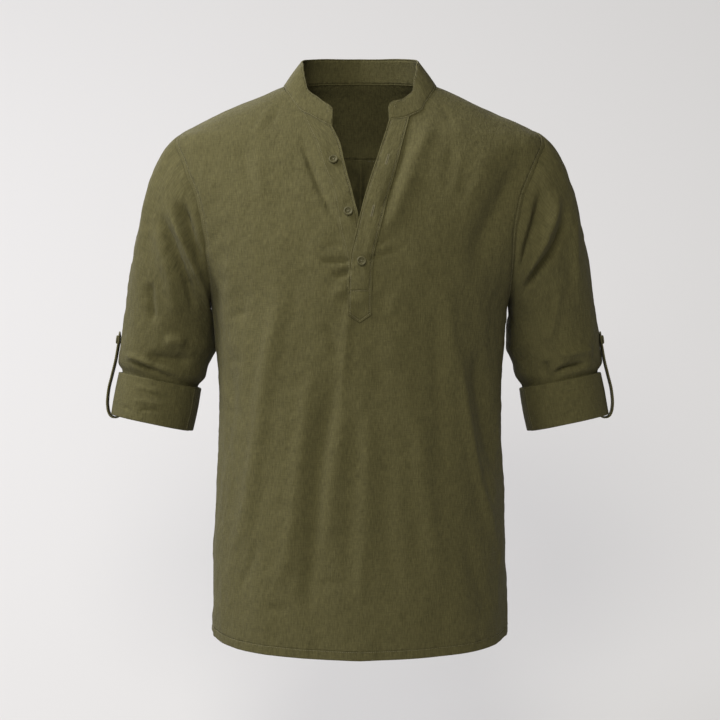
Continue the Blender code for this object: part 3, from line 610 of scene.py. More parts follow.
ARM_FOLDS_LEFT = (
    # deep trough beside the armhole
    (8.8, -6.2, 0.8, ((-216, -141), (-208, -161), (-199, -184), (-190, -208), (-185, -230))),
    # ridge left of it
    (5.6, 3.2, 0.5, ((-230, -141), (-222, -166), (-212, -188), (-201, -213), (-191, -238), (-184, -264),
        (-181, -287))),
    # second trough
    (6.6, -4.6, 0.7, ((-239, -149), (-234, -171), (-226, -191), (-217, -213), (-208, -237), (-202, -262),
        (-199, -285))),
    # swell down the middle
    (9.5, 2, 0, ((-245, -161), (-239, -188), (-232, -218), (-226, -248), (-223, -279), (-222, -302))),
    # small trough
    (5.4, -2.4, 0, ((-253, -238), (-252, -262), (-250, -294))),
    # bulge above the cuff
    (8, 2.2, 0, ((-237, -312), (-224, -311), (-209, -314))),
    # hollow above the cuff
    (8.8, -3.9, 0, ((-262, -329), (-242, -333), (-222, -334), (-202, -335))),
    # crease to the outer side
    (3.8, -3.2, 0.6, ((-281, -334), (-267, -339), (-250, -347), (-232, -355), (-215, -360))),
    # fold along the cuff
    (4.8, 2.4, 0, ((-288, -329), (-274, -331), (-261, -337), (-246, -343))),
    # long ridge down the arm
    (10.8, 1.4, 0, ((-239, -104), (-255, -158), (-267, -213), (-274, -273))),
)
ARM_FOLDS_RIGHT = (
    # ridge at the armhole
    (7, 4.2, 0.5, ((236, -127), (232, -154), (224, -178), (211, -205), (199, -229), (193, -259))),
    # trough left of it
    (8.4, -5.2, 0, ((215, -116), (215, -144), (211, -166), (202, -191), (193, -218), (186, -248))),
    # crease right of it
    (6.2, -3.8, 0.7, ((246, -137), (245, -168), (238, -191), (226, -210), (211, -227), (201, -244),
        (195, -262))),
    # soft line
    (4.8, 1.4, 0, ((259, -144), (259, -184), (260, -225), (263, -262))),
    # swell below the ridge
    (8, 1.9, 0, ((240, -232), (236, -265), (230, -299), (228, -319))),
    # small trough
    (5, -1.8, 0, ((233, -248), (230, -279), (226, -299))),
    # lit bulge above the strap
    (6.4, 2.8, 0, ((236, -330), (255, -326), (273, -322), (285, -323))),
    # dark arc above the cuff
    (5, -4.6, 0.6, ((232, -357), (244, -347), (261, -341), (280, -338))),
    # dimple beside it
    (4.8, -2.6, 0, ((224, -333), (224, -346), (226, -358))),
    # long ridge down the arm
    (10.8, 1.4, 0, ((233, -104), (250, -158), (264, -219), (274, -273))),
)
CUFF_FOLDS_LEFT = (
    # line under the top edge
    (2.8, -0.8, 0.1, ((-256, -374), (-241, -378), (-223, -382))),
    # swell above it
    (4, 0.6, 0, ((-276, -366), (-259, -369), (-236, -374))),
    # line above the hem
    (2.8, -0.8, 0.1, ((-271, -395), (-256, -394), (-239, -398))),
    # swell above that line
    (3.6, 0.6, 0, ((-279, -383), (-259, -385), (-232, -391))),
    # dimple at the hem
    (3, -0.6, 0, ((-289, -390), (-283, -393), (-275, -400))),
)
CUFF_FOLDS_RIGHT = (
    # line under the top edge
    (2.8, -0.8, 0.1, ((238, -377), (252, -373), (271, -369))),
    # swell below it
    (4, 0.6, 0, ((236, -387), (252, -383), (272, -378))),
    # line above the hem
    (2.8, -0.8, 0.1, ((243, -403), (257, -397), (265, -395))),
    # dimple in the middle
    (3, -0.6, 0, ((224, -390), (231, -383), (236, -381))),
)


def column(table, columns, name):
    """One column of a table, ordered by the table's first column."""
    return np.array([row[columns.index(name)] for row in sorted(table)], float)


def cubic(t, start, leave, end, arrive):
    """The cubic from start to end, t 0 to 1, that sets off along leave and comes in along arrive."""
    near = (2 * t**3 - 3 * t**2 + 1) * start + (t**3 - 2 * t**2 + t) * leave
    return near + (3 * t**2 - 2 * t**3) * end + (t**3 - t**2) * arrive


def smooth(at, knots, values):
    """A curve through a table's rows that never overshoots them.

    Each piece is a cubic. Its slope at a row is the harmonic mean of the two neighbouring straight
    slopes, or level where they differ in sign.
    """
    step = np.diff(knots)
    rise = np.diff(values) / step
    same_way = rise[1:] * rise[:-1] > 0
    total = np.where(same_way, rise[1:] + rise[:-1], 1.0)
    inner = np.where(same_way, 2 * rise[1:] * rise[:-1] / total, 0.0)
    slope = np.concatenate([rise[:1], inner, rise[-1:]])
    i = np.clip(np.searchsorted(knots, at, side="right") - 1, 0, len(step) - 1)
    t = (at - knots[i]) / step[i]
    return cubic(t, values[i], step[i] * slope[i], values[i + 1], step[i] * slope[i + 1])


def curve(rows, at):
    """Points of the smooth curve through a list of rows, at row numbers that need not be whole."""
    rows = np.array(rows)
    knots = np.arange(len(rows), dtype=float)
    return np.stack([smooth(at, knots, values) for values in rows.T], axis=-1)


def read(table, columns, name, at):
    """The value of a column where the table's first column equals at."""
    return smooth(np.asarray(at, float), column(table, columns, columns[0]), column(table, columns, name))


def ease(t):
    """From 0 to 1 with level ends, and held there outside: 3 t squared less 2 t cubed."""
    t = np.clip(t, 0.0, 1.0)
    return t * t * (3 - 2 * t)


def unit(vectors):
    """Each vector divided by its length."""
    return vectors / np.linalg.norm(vectors, axis=-1, keepdims=True)


def steps(points, axis):
    """The distance between each point and the next along an axis."""
    return np.linalg.norm(np.diff(points, axis=axis), axis=-1)


def totals(sizes):
    """The sum of the sizes before each place, from 0 up to all of them."""
    return np.concatenate([[0], np.cumsum(sizes)])


def noise(points, seed):
    """Smooth noise from -1 to 1: a value for each whole-number corner, blended by ease along each axis."""
    corner = np.floor(points).astype(np.int64)
    part = ease(points - corner)
    total = np.zeros(points.shape[:-1])
    for step in np.ndindex(2, 2, 2):
        key = seed * SCRAMBLE_SEED
        for place, factor in zip(np.moveaxis((corner + step).astype(np.uint64), -1, 0), SCRAMBLE_PLACE):
            key = (place * factor) ^ key
        key = ((key & 0xFFFFFFFF) * SCRAMBLE_BITS[0]) & 0xFFFFFFFF
        key ^= key >> 15
        value = (((key * SCRAMBLE_BITS[1]) >> 9) & 0xFFFF) / NOISE_VALUES - 1
        total += value * np.prod(np.where(step, part, 1 - part), axis=-1)
    return total


def corner_swell(squareness, angle):
    """How much larger a section is at an angle: by the squareness at its four corners, times a cosine."""
    return 1 + squareness * (1 - np.cos(4 * angle)) / 2


def body(angle, height):
    """Points of the body: an oval section at each height, swelled at its four corners."""
    angle, height = np.broadcast_arrays(np.radians(angle), height)
    size = {name: read(BODY_SECTIONS, BODY_COLUMNS, name, height) for name in BODY_COLUMNS[1:]}
    swell = corner_swell(size["squareness"], angle)
    depth = np.where(np.cos(angle) > 0, size["front_depth"], size["back_depth"])
    x = size["half_width"] * np.sin(angle) * swell
    y = -depth * np.cos(angle) * swell
    return np.stack([x, y, height], axis=-1)


def body_normal(angle, height):
    """Outward directions of the body: its slope round crossed with its slope up."""
    angle, height = np.asarray(angle), np.asarray(height)
    around = body(angle + ANGLE_STEP, height) - body(angle - ANGLE_STEP, height)
    up = body(angle, height + HEIGHT_STEP) - body(angle, height - HEIGHT_STEP)
    return unit(np.cross(around, up))


def angle_at(x, height):
    """The angle at which the front of the body stands x from the centre line: the arc sine of x over the
    half width there, corrected for the swell a few times."""
    half_width = read(BODY_SECTIONS, BODY_COLUMNS, "half_width", height)
    squareness = read(BODY_SECTIONS, BODY_COLUMNS, "squareness", height)
    angle = np.arcsin(x / half_width)
    for _ in range(ANGLE_ROUNDS):
        angle = np.arcsin(x / half_width / corner_swell(squareness, angle))
    return np.degrees(angle)


def neckline(angle):
    """Height of the neckline, read for an angle from 0 to 360 taken round by the right."""
    angle = np.asarray(angle, float) % 360
    right = read(NECKLINE_RIGHT, NECKLINE_COLUMNS, "height", np.minimum(angle, 180))
    left = read(NECKLINE_LEFT, NECKLINE_COLUMNS, "height", np.minimum(360 - angle, 180))
    return np.where(angle <= 180, right, left)


def from_front(angle):
    """An angle's distance from the centre front by the shorter way round, 0 to 180."""
    return np.abs((np.asarray(angle, float) + 180) % 360 - 180)


def hem_height(angle):
    """Height of the hem, read for the angle from the centre front. Both sides are alike."""
    return read(HEM, HEM_COLUMNS, "height", from_front(angle))


def armhole(turn, size=1.0):
    """(angle, height) round the armhole, for a turn of 0 at its top, 90 in front, 180 underarm.

    The loop is an egg: half its height times the cosine, and its half angle times the sine, fuller
    above. size carries it outwards from its middle.
    """
    turn = np.radians(turn)
    fuller = 1 + ARMHOLE_FULLER_ABOVE * np.cos(turn)
    angle = 90 - size * ARMHOLE_HALF_ANGLE * np.sin(turn) * fuller
    return angle, ARMHOLE_MIDDLE + size * ARMHOLE_HALF_HEIGHT * np.cos(turn)


def from_armhole(angle, height):
    """How far a place lies outside the armhole's edge, in metres along the cloth: how much the egg has to
    grow to reach it, times the egg's own reach that way."""
    up = (height - ARMHOLE_MIDDLE) / ARMHOLE_HALF_HEIGHT
    forward = (90 - from_front(angle)) / ARMHOLE_HALF_ANGLE
    lean = np.hypot(up, forward)
    forward = forward / (1 + ARMHOLE_FULLER_ABOVE * up / np.maximum(lean, NEARLY_NONE))
    size = np.hypot(up, forward)
    reach = np.hypot(ARMHOLE_HALF_HEIGHT * up, ARMHOLE_HALF_DEPTH * forward)
    return (size - 1) * reach / np.maximum(size, NEARLY_NONE)


def crease_relief(points, table):
    """The height that a table of creases adds, in x and z.

    Each point finds the nearest place on the crease's smooth path. Its height is depth plus roll times
    the sideways distance, times the bell curve of the distance over the width, fading at both ends.
    """
    flat = points[:, [0, 2]]
    relief = np.zeros(len(flat))
    for width, depth, roll, path in table:
        width, depth, roll = width * MM, depth * MM, roll * MM
        line = curve(path, np.linspace(0, len(path) - 1, FOLD_STEPS * len(path) + 1)) * MM
        low, high = line.min(axis=0) - FOLD_REACH * width, line.max(axis=0) + FOLD_REACH * width
        near = ((flat > low) & (flat < high)).all(axis=1)
        if not near.any():
            continue
        start, step = line[:-1], np.diff(line, axis=0)
        away = flat[near][:, None] - start
        along = np.clip((away * step).sum(axis=-1) / (step**2).sum(axis=-1), 0, 1)
        offset = away - along[..., None] * step
        best = (offset**2).sum(axis=-1).argmin(axis=1)
        row = np.arange(len(best))
        offset, step = offset[row, best], unit(step[best])
        part = (best + along[row, best]) / len(start)
        sideways = offset[:, 0] * -step[:, 1] + offset[:, 1] * step[:, 0]
        bell = np.exp(-(offset**2).sum(axis=1) / (FOLD_SHARPNESS * width) ** 2)
        fade = ease(part / FOLD_END_FADE) * ease((1 - part) / FOLD_END_FADE)
        relief[near] += fade * bell * (depth + ROLL_GAIN * roll * sideways / width)
    return relief


def hang(points, amount):
    """Uneven hang of soft cloth: the sum of four noises, from long upright swells to fine crumples, with
    the finer two pressed flatter on the shoulders."""
    long, short, crumple, fine = (
        share * noise(points / size, seed) for seed, (*size, share) in enumerate(HANG_SWELLS, start=1)
    )
    low, high = SHOULDER_FADE
    calm = 1 - SHOULDER_CALM * ease((points[..., 2] - low) / (high - low))
    return amount * (long + short + calm * (crumple + fine))


def relief_of(points, normals, front_table, back_table, settings):
    """Height of the folds: the creases that face front plus those that face back, and the hang all over,
    stronger at the sides."""
    front = ease(-normals[:, 1] / FACING_FADE)
    back = ease(normals[:, 1] / FACING_FADE)
    creases = crease_relief(points, front_table) * front + crease_relief(points, back_table) * back
    sides = 1 + SIDE_HANG * (1 - front)
    return settings.fold_depth * creases + hang(points, settings.hang_depth) * sides


def on_body(angle, height, lift, settings):
    """Points of the folded cloth of the body, moved out by lift, and the body's directions there.

    The folds die away into the collar.
    """
    angle, height, lift = np.broadcast_arrays(np.asarray(angle, float), height, lift)
    shape = angle.shape
    angle, height, lift = angle.ravel(), height.ravel(), lift.ravel()
    points, normals = body(angle, height), body_normal(angle, height)
    relief = relief_of(points, normals, FRONT_FOLDS, BACK_FOLDS, settings)
    relief = relief * (NECK_RELIEF + (1 - NECK_RELIEF) * ease((neckline(angle) - height) / NECK_FADE))
    points = points + normals * (lift + relief)[:, None]
    return points.reshape(*shape, 3), normals.reshape(*shape, 3)


def parts(count, length, fine=PANEL_FINE):
    """Parts from 0 to 1, evenly spread, with a few close to both ends, given in metres of the length."""
    close = np.array(fine) / length
    spread = np.concatenate([np.linspace(0, 1, count + 1)[1:-1], [0, 1], close, 1 - close])
    return np.unique(np.round(spread, 6))


def rounded(distance, radius):
    """Part of the wall's thickness at this distance from an edge: a quarter circle of the radius."""
    into = 1 - np.clip(distance / radius, 0, 1)
    return np.sqrt(1 - into**2)


def grid_faces(rows, columns, wrap=False):
    """Four-sided faces of a grid, with the last column joined to the first where it wraps."""
    number = np.arange(rows * columns).reshape(rows, columns)
    beside = np.roll(number, -1, axis=1) if wrap else number[:, 1:]
    here = number if wrap else number[:, :-1]
    corners = [here[:-1], beside[:-1], beside[1:], here[1:]]
    return np.stack(corners, axis=-1).reshape(-1, 4)


def grid_normals(points, wrap=False):
    """Directions across a grid's steps along a row crossed with its steps down a column."""
    if wrap:
        around = np.roll(points, -1, axis=1) - np.roll(points, 1, axis=1)
    else:
        around = np.gradient(points, axis=1)
    return unit(np.cross(around, np.gradient(points, axis=0)))


def blend_edges(top, bottom, left, right, u, v):
    """A grid inside four edges: the blend across plus the blend down, less the blend of the corners."""
    u, v = u[None, :, None], v[:, None, None]
    down = (1 - v) * top[None] + v * bottom[None]
    across = (1 - u) * left[:, None] + u * right[:, None]
    upper = (1 - u) * top[0] + u * top[-1]
    lower = (1 - u) * bottom[0] + u * bottom[-1]
    return down + across - (1 - v) * upper - v * lower


def places(angle, height):
    """(angle, height) pairs along an edge."""
    return np.stack(np.broadcast_arrays(np.asarray(angle, float), np.asarray(height, float)), axis=-1)


def cut_places(angle, height, middle):
    """Where a place lies on the flat cloth: its arc round from the middle, and up from the chest."""
    part = np.linspace(0, 1, CUT_STEPS)
    round_to = body(middle + (angle - middle)[:, None] * part, height[:, None])
    up_to = body(angle[:, None], CHEST_HEIGHT + (height - CHEST_HEIGHT)[:, None] * part)
    across = steps(round_to, 1).sum(axis=1) * np.sign(angle - middle)
    along = steps(up_to, 1).sum(axis=1) * np.sign(height - CHEST_HEIGHT)
    return np.stack([across, along], axis=-1)


def grid_cut(points):
    """Places on the flat cloth for the faces of a grid: mean lengths along its rows and down its columns."""
    across, along = totals(steps(points, 1).mean(axis=0)), totals(steps(points, 0).mean(axis=1))
    flat = np.stack(np.meshgrid(across, along), axis=-1)
    return flat.reshape(-1, 2)[grid_faces(*points.shape[:2])]


def add_mesh(name, points, faces, finish):
    """A smooth piece of one finish from points and faces, riding on the shirt's one body."""
    mesh = bpy.data.meshes.new(name)
    mesh.from_pydata(points.tolist(), [], faces if isinstance(faces, list) else faces.tolist())
    mesh.shade_smooth()
    mesh.materials.append(finish)
    made = bpy.data.objects.new(name, mesh)
    bpy.context.scene.collection.objects.link(made)
    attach(made, "root")
    return made


def add_sheet(name, sheet, normals, faces, wall, fill, cut, press, finish):
    """A closed thin wall round a sheet.

    Each skin lies half the wall away from the sheet, times the fill there. The two share the corners of
    every free edge, so the wall closes. cut holds the flat places of each face's corners, and press is
    each point's distance from the nearest row of stitches.
    """
    corners = sheet[faces]
    facing = np.cross(corners[:, 2] - corners[:, 0], corners[:, 3] - corners[:, 1])
    if (facing * normals[faces[:, 0]]).sum() < 0:
        faces, cut = faces[:, ::-1], cut[:, ::-1]
    edges = np.sort(np.stack([faces, np.roll(faces, -1, axis=1)], axis=-1).reshape(-1, 2), axis=1)
    edges = edges[edges[:, 0] != edges[:, 1]]
    pairs, uses = np.unique(edges, axis=0, return_counts=True)
    free = np.zeros(len(sheet), bool)
    free[pairs[uses == 1].ravel()] = True
    shift = normals * (wall / 2 * np.where(free, 0.0, fill))[:, None]
    inner_number = np.where(free, np.arange(len(sheet)), len(sheet) + np.cumsum(~free) - 1)
    points = np.concatenate([sheet + shift, (sheet - shift)[~free]])
    made = add_mesh(name, points, np.concatenate([faces, inner_number[faces[:, ::-1]]]), finish)
    layer = made.data.uv_layers.new(name="Cut")
    layer.data.foreach_set("uv", np.concatenate([cut, cut[:, ::-1]]).ravel())
    attribute = made.data.attributes.new("press", "FLOAT", "POINT")
    attribute.data.foreach_set("value", np.concatenate([press, press[~free]]).astype(np.float32))
    return made


def add_grid(name, sheet, normals, wall, edges, press, settings, wrap=False):
    """A closed wall round a grid of cloth, with the named edges rounded by half the wall.

    A grid that wraps repeats its first column on the flat cloth, so that it ends at the whole girth.
    """
    around = np.concatenate([sheet, sheet[:, :1]], axis=1) if wrap else sheet
    return add_sheet(
        name,
        sheet.reshape(-1, 3),
        normals.reshape(-1, 3),
        grid_faces(*sheet.shape[:2], wrap),
        wall,
        rounded(edge_distance(sheet, edges), wall / 2).ravel(),
        grid_cut(around),
        press.ravel(),
        linen(settings),
    )


def sewn(node):
    """Hides the imported part that a finished piece of cloth stands for."""
    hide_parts(node)


def round_turns(count):
    """Evenly spread turns of a circle, in radians."""
    return np.radians(np.arange(count) * 360 / count)


def capped_faces(rows, sides):
    """Faces of a tube of rings, closed at a point before the first ring and one after the last."""
    faces = (grid_faces(rows, sides, wrap=True) + 1).tolist()
    last = rows * sides + 1
    for i in range(sides):
        j = (i + 1) % sides
        faces.append((0, 1 + j, 1 + i))
        faces.append((last, last - sides + i, last - sides + j))
    return faces


def joined(pieces):
    """Points and faces of several meshes as one."""
    starts = np.cumsum([0] + [len(points) for points, _ in pieces])
    faces = [[n + int(start) for n in face] for (_, own), start in zip(pieces, starts) for face in own]
    return np.concatenate([points for points, _ in pieces]), faces


def stitch_template():
    """One thread from end to end: (along, across, up) in parts of its half length and radius, and faces.

    It is a tube of three rings, each its size times the cosine and the sine, drawn to a point at both
    ends.
    """
    around = round_turns(STITCH_SIDES)
    along, size = np.array(STITCH_RINGS).T[..., None]
    across, up = size * np.cos(around), size * np.sin(around)
    rings = np.stack([np.broadcast_to(along, across.shape), across, up], axis=-1).reshape(-1, 3)
    points = np.concatenate([[(1.0, 0.0, 0.0)], rings, [(-1.0, 0.0, 0.0)]])
    return points, [face[::-1] for face in capped_faces(len(STITCH_RINGS), STITCH_SIDES)]


def threads(centres, along, up, half_length, radius):
    """Points and faces of many threads: the template carried to each centre on its own three directions."""
    template, faces = stitch_template()
    directions = np.stack([along, unit(np.cross(up, along)), up], axis=1)
    points = centres[:, None] + template * (half_length, radius, radius) @ directions
    return joined([(thread_points, faces) for thread_points in points])


def along_run(points, normals, pitch):
    """Centres, headings and normals at even steps along a run of stitches."""
    length = totals(steps(points, 0))
    count = max(2, int(length[-1] / pitch))
    at = (np.arange(count) + 0.5) * length[-1] / count
    step = pitch / 4

    def pick(values, where):
        return np.stack([np.interp(where, length, values[:, i]) for i in range(3)], axis=-1)

    heading = unit(pick(points, np.minimum(at + step, length[-1])) - pick(points, np.maximum(at - step, 0)))
    return pick(points, at), heading, unit(pick(normals, at))


def add_stitches(name, runs, settings, finish):
    """Rows of thread: one short rounded stitch for each step of each run, half sunk in the cloth."""
    pitch, radius = settings.stitch_pitch, settings.stitch_width / 2
    rows = [threads(*along_run(*run, pitch), pitch * STITCH_HALF_SHARE, radius) for run in runs]
    made = add_mesh(name, *joined(rows), finish)


def side_neckline(side, angle):
    """Height of the neckline at an angle from the centre front on the right (1) or left (-1)."""
    return neckline(np.asarray(angle, float) if side > 0 else 360 - np.asarray(angle, float))


def shoulder_seam(part):
    """(angle, height) along the front shoulder seam, part 0 at the neck and 1 at the armhole: height even
    in part, and the angle by a power of it, which bows the seam."""
    end_angle, end_height = armhole(SHOULDER_SEAM_TURN / 2)
    start_height = side_neckline(1, SHOULDER_SEAM_AT_NECK)
    height = start_height + (end_height - start_height) * part
    return SHOULDER_SEAM_AT_NECK + (end_angle - SHOULDER_SEAM_AT_NECK) * part**SHOULDER_SEAM_BEND, height


def yoke_seam_turn():
    """The turn at which the yoke's back seam meets the armhole: the arc cosine of its height there."""
    up = (YOKE_SEAM_HEIGHT - YOKE_SEAM_DROP - ARMHOLE_MIDDLE) / ARMHOLE_HALF_HEIGHT
    return 360 - math.degrees(math.acos(up))


def yoke_seam(part):
    """(angle, height) along the yoke's back seam, part 0 at the centre back and 1 at the armhole: the
    angle even in part, and the height falling by its square."""
    end_angle = armhole(yoke_seam_turn())[0]
    return 180 + (end_angle - 180) * part, YOKE_SEAM_HEIGHT - YOKE_SEAM_DROP * part**2


def strip_edges(side, height):
    """How far the free edge and the seam of a placket strip stand from the centre line, read from the
    table. The under strip's free edge is drawn in by a bell curve of the height."""
    names = ("over_free", "over_seam") if side > 0 else ("under_free", "under_seam")
    free, seam = (read(PLACKET_EDGES, PLACKET_COLUMNS, name, height) for name in names)
    if side < 0:
        free = free - DRAWN_IN * np.exp(-(((height - DRAWN_AT) / DRAWN_OVER) ** 2))
    return [free, seam]


def strip_top(side, columns, drawn_back=0.0):
    """Angles at which a strip's columns meet the neckline: the angle and the height in turn, a few times."""
    height = np.full(np.shape(columns), NECK_SLIT_HEIGHT)
    for _ in range(STRIP_ROUNDS):
        free, seam = strip_edges(side, height)
        angle = angle_at(np.abs(free + (seam - free) * columns) - drawn_back, height)
        height = side_neckline(side, angle)
    return angle


def in_two(at, split, first, second):
    """Places along an edge of two runs: first below the split and second above it."""
    low = places(*first(np.clip(at / split, 0, 1)))
    high = places(*second(np.clip((at - split) / (1 - split), 0, 1)))
    return np.where((at < split)[:, None], low, high)


def down_at(angle, start, end):
    """The run straight down the body at one angle, as a function of its part."""
    return lambda part: (angle, start + (end - start) * part)


def round_armhole(start, end):
    """The run along the armhole from one turn to another, as a function of its part."""
    return lambda part: armhole(start + (end - start) * part)


def front_half(side):
    """(angle, height) over one half of the front, blended inside its four edges: neckline and shoulder
    seam above, the slit and the centre front, the armhole and the side seam, and the hem."""
    u, v = parts(HALF_COLUMNS, HALF_WIDTH), parts(BODY_ROWS, BODY_LENGTH)
    inner = float(strip_top(side, 1.0, PANEL_UNDER_STRIP))
    top_height = float(side_neckline(side, inner)) + NECK_TUCK

    def neck(part):
        angle = inner + (SHOULDER_SEAM_AT_NECK - inner) * part
        return angle, side_neckline(side, angle) + NECK_TUCK * (1 - part)

    def slit(part):
        height = top_height + (UNDERARM - top_height) * part
        reach = np.abs(strip_edges(side, height)[1]) - PANEL_UNDER_STRIP
        return angle_at(reach * ease((height - UNDERARM) / SLIT_CLOSES_OVER), height), height

    top = in_two(u, NECK_SHARE, neck, shoulder_seam)
    left = in_two(v, ARM_SHARE, slit, down_at(0, UNDERARM, hem_height(0)))
    left[0] = top[0]
    seam = down_at(90, UNDERARM, hem_height(90))
    right = in_two(v, ARM_SHARE, round_armhole(SHOULDER_SEAM_TURN / 2, 180), seam)
    return blend_edges(top, places(90 * u, hem_height(90 * u)), left, right, u, v)


def back_half():
    """(angle, height) over one half of the back, blended inside its edges: the yoke's seam, the centre
    back, the armhole and the side seam, and the hem."""
    u, v = parts(HALF_COLUMNS, HALF_WIDTH), parts(BODY_ROWS, BODY_LENGTH)
    top = places(*yoke_seam(u))
    centre = down_at(180, UNDERARM, hem_height(180))
    left = in_two(v, ARM_SHARE, down_at(180, top[0, 1], UNDERARM), centre)
    seam = down_at(90, UNDERARM, hem_height(90))
    right = in_two(v, ARM_SHARE, round_armhole(yoke_seam_turn(), 180), seam)
    angle = 180 - 90 * u
    return blend_edges(top, places(angle, hem_height(angle)), left, right, u, v)


def yoke_half(side):
    """(angle, height) over one half of the yoke, from the centre back round the neck to its front seam,
    blended inside its edges."""
    u, v = parts(YOKE_COLUMNS, HALF_WIDTH), parts(YOKE_ROWS, YOKE_LENGTH)
    neck_angle = 180 + (SHOULDER_SEAM_AT_NECK - 180) * u
    top = places(neck_angle, side_neckline(side, neck_angle) + NECK_TUCK * (1 - u))
    over_arm = round_armhole(yoke_seam_turn(), 360 + SHOULDER_SEAM_TURN / 2)
    outer = in_two(u, YOKE_SEAM_SHARE, yoke_seam, over_arm)
    centre = places(180, top[0, 1] + (YOKE_SEAM_HEIGHT - top[0, 1]) * v)
    return blend_edges(top, outer, centre, places(*shoulder_seam(v)), u, v)


def edge_distance(points, edges):
    """How far each point of a grid lies from the named edges, along its own row or column."""
    ends = {"top": points[:1], "bottom": points[-1:], "left": points[:, :1], "right": points[:, -1:]}
    return np.min([np.linalg.norm(points - ends[edge], axis=-1) for edge in edges], axis=0)


def add_panel(name, halves, middle, rows_of_stitches, settings):
    """A panel of the body from its two halves, joined where both have the same place.

    halves are grids of (angle, height) for the right and for the left, which is mirrored. middle is the
    angle where they join, and rows_of_stitches gives the distances from the panel's stitching.
    """
    all_places, all_faces, all_fill, count = [], [], [], 0
    for side, grid in zip((1, -1), halves):
        points = body(grid[..., 0], grid[..., 1])
        distance = edge_distance(points, ("top", "bottom", "right"))
        if middle == 0:
            slit = grid[:, :1, 1] > UNDERARM
            distance = np.where(slit, np.minimum(distance, edge_distance(points, ("left",))), distance)
        angle = side * grid[..., 0] + (360 if side < 0 and middle else 0)
        faces = grid_faces(*grid.shape[:2])
        all_places.append(places(angle, grid[..., 1]).reshape(-1, 2))
        all_fill.append(rounded(distance, PANEL_WALL / 2).ravel())
        all_faces.append((faces if side > 0 else faces[:, ::-1]) + count)
        count += distance.size
    at = np.concatenate(all_places)
    _, first, number = np.unique(np.round(at, 5), axis=0, return_index=True, return_inverse=True)
    angle, height = at[first].T
    faces, fill = number.reshape(-1)[np.concatenate(all_faces)], np.concatenate(all_fill)[first]
    sheet, normals = on_body(angle, height, -PANEL_WALL / 2, settings)
    cut = cut_places(angle, height, middle)[faces]
    press = np.abs(rows_of_stitches(angle, height)).min(axis=0)
    return add_sheet(name, sheet, normals, faces, PANEL_WALL, fill, cut, press, linen(settings))


def panel_stitch_rows(angle, height):
    """Distances from the stitching beside the armholes and above the hem."""
    return from_armhole(angle, height) - ARMHOLE_STITCH, height - hem_height(angle) - HEM_STITCH


def yoke_stitch_rows(angle, height):
    """Distances from the stitching beside the armholes and above the yoke's back seam, which ends at the
    armhole."""
    part = (from_front(angle) - 180) / (armhole(yoke_seam_turn())[0] - 180)
    behind = np.where(part < 1, height - yoke_seam(part)[1] - EDGE_STITCH, FAR_FROM_STITCHES)
    return from_armhole(angle, height) - ARMHOLE_STITCH, behind


def strip_lift(side, from_seam, height):
    """How far the middle of a strip stands off the front: the over strip rises by an ease over its lap,
    and falls back by another at its foot and towards the neck."""
    if side < 0:
        return np.full_like(height, UNDER_LIFT)
    lapped = ease((height - LAP_ENDS[0]) / (LAP_ENDS[1] - LAP_ENDS[0]))
    lapped = lapped * ease((LAP_TOP - height) / LAP_TOP_FADE)
    return OVER_SEAM_LIFT + (OVER_LAP_LIFT - OVER_SEAM_LIFT) * ease(from_seam / LAP_RAMP) * lapped


def over_foot(columns):
    """Height of the over strip's foot: two straight edges down to its point."""
    return OVER_PLACKET_FOOT - OVER_PLACKET_POINT * (1 - np.abs(2 * columns - 1))


def on_strip(side, columns, height, lift, settings):
    """Points on a placket strip, columns 0 at its free edge and 1 at its seam, lifted off its middle."""
    free, seam = strip_edges(side, height)
    x = free + (seam - free) * columns
    angle = side * angle_at(side * x, height)
    return on_body(angle, height, strip_lift(side, 1 - columns, height) + lift, settings)


def add_strip(name, side, settings):
    """A placket strip from the neckline to its foot, pointed on the over strip."""
    columns = parts(STRIP_COLUMNS, STRIP_WIDTH, STRIP_FINE)[None]
    part = parts(STRIP_ROWS, STRIP_LENGTH, STRIP_FINE)[:, None]
    top = side_neckline(side, strip_top(side, columns)) + NECK_TUCK / 2
    foot = over_foot(columns) if side > 0 else UNDER_PLACKET_FOOT
    height = top + (foot - top) * part
    sheet, normals = on_strip(side, columns, height, 0.0, settings)
    sewn_edges = ("bottom", "left", "right") if side > 0 else ("bottom", "left")
    press = np.abs(edge_distance(sheet, sewn_edges) - STRIP_STITCH)
    press = np.minimum(press, edge_distance(sheet, ("top",)))
    if side > 0:
        press = np.minimum(press, np.abs(height - PLACKET_BAR_HEIGHT))
    return add_grid(name, sheet, normals, STRIP_WALL, ALL_EDGES, press, settings)


def collar_ends():
    """Angles of the collar's two ends, from the right one round the back to the left one."""
    return float(strip_top(1, 0.0)), 360 - float(strip_top(-1, 0.0))


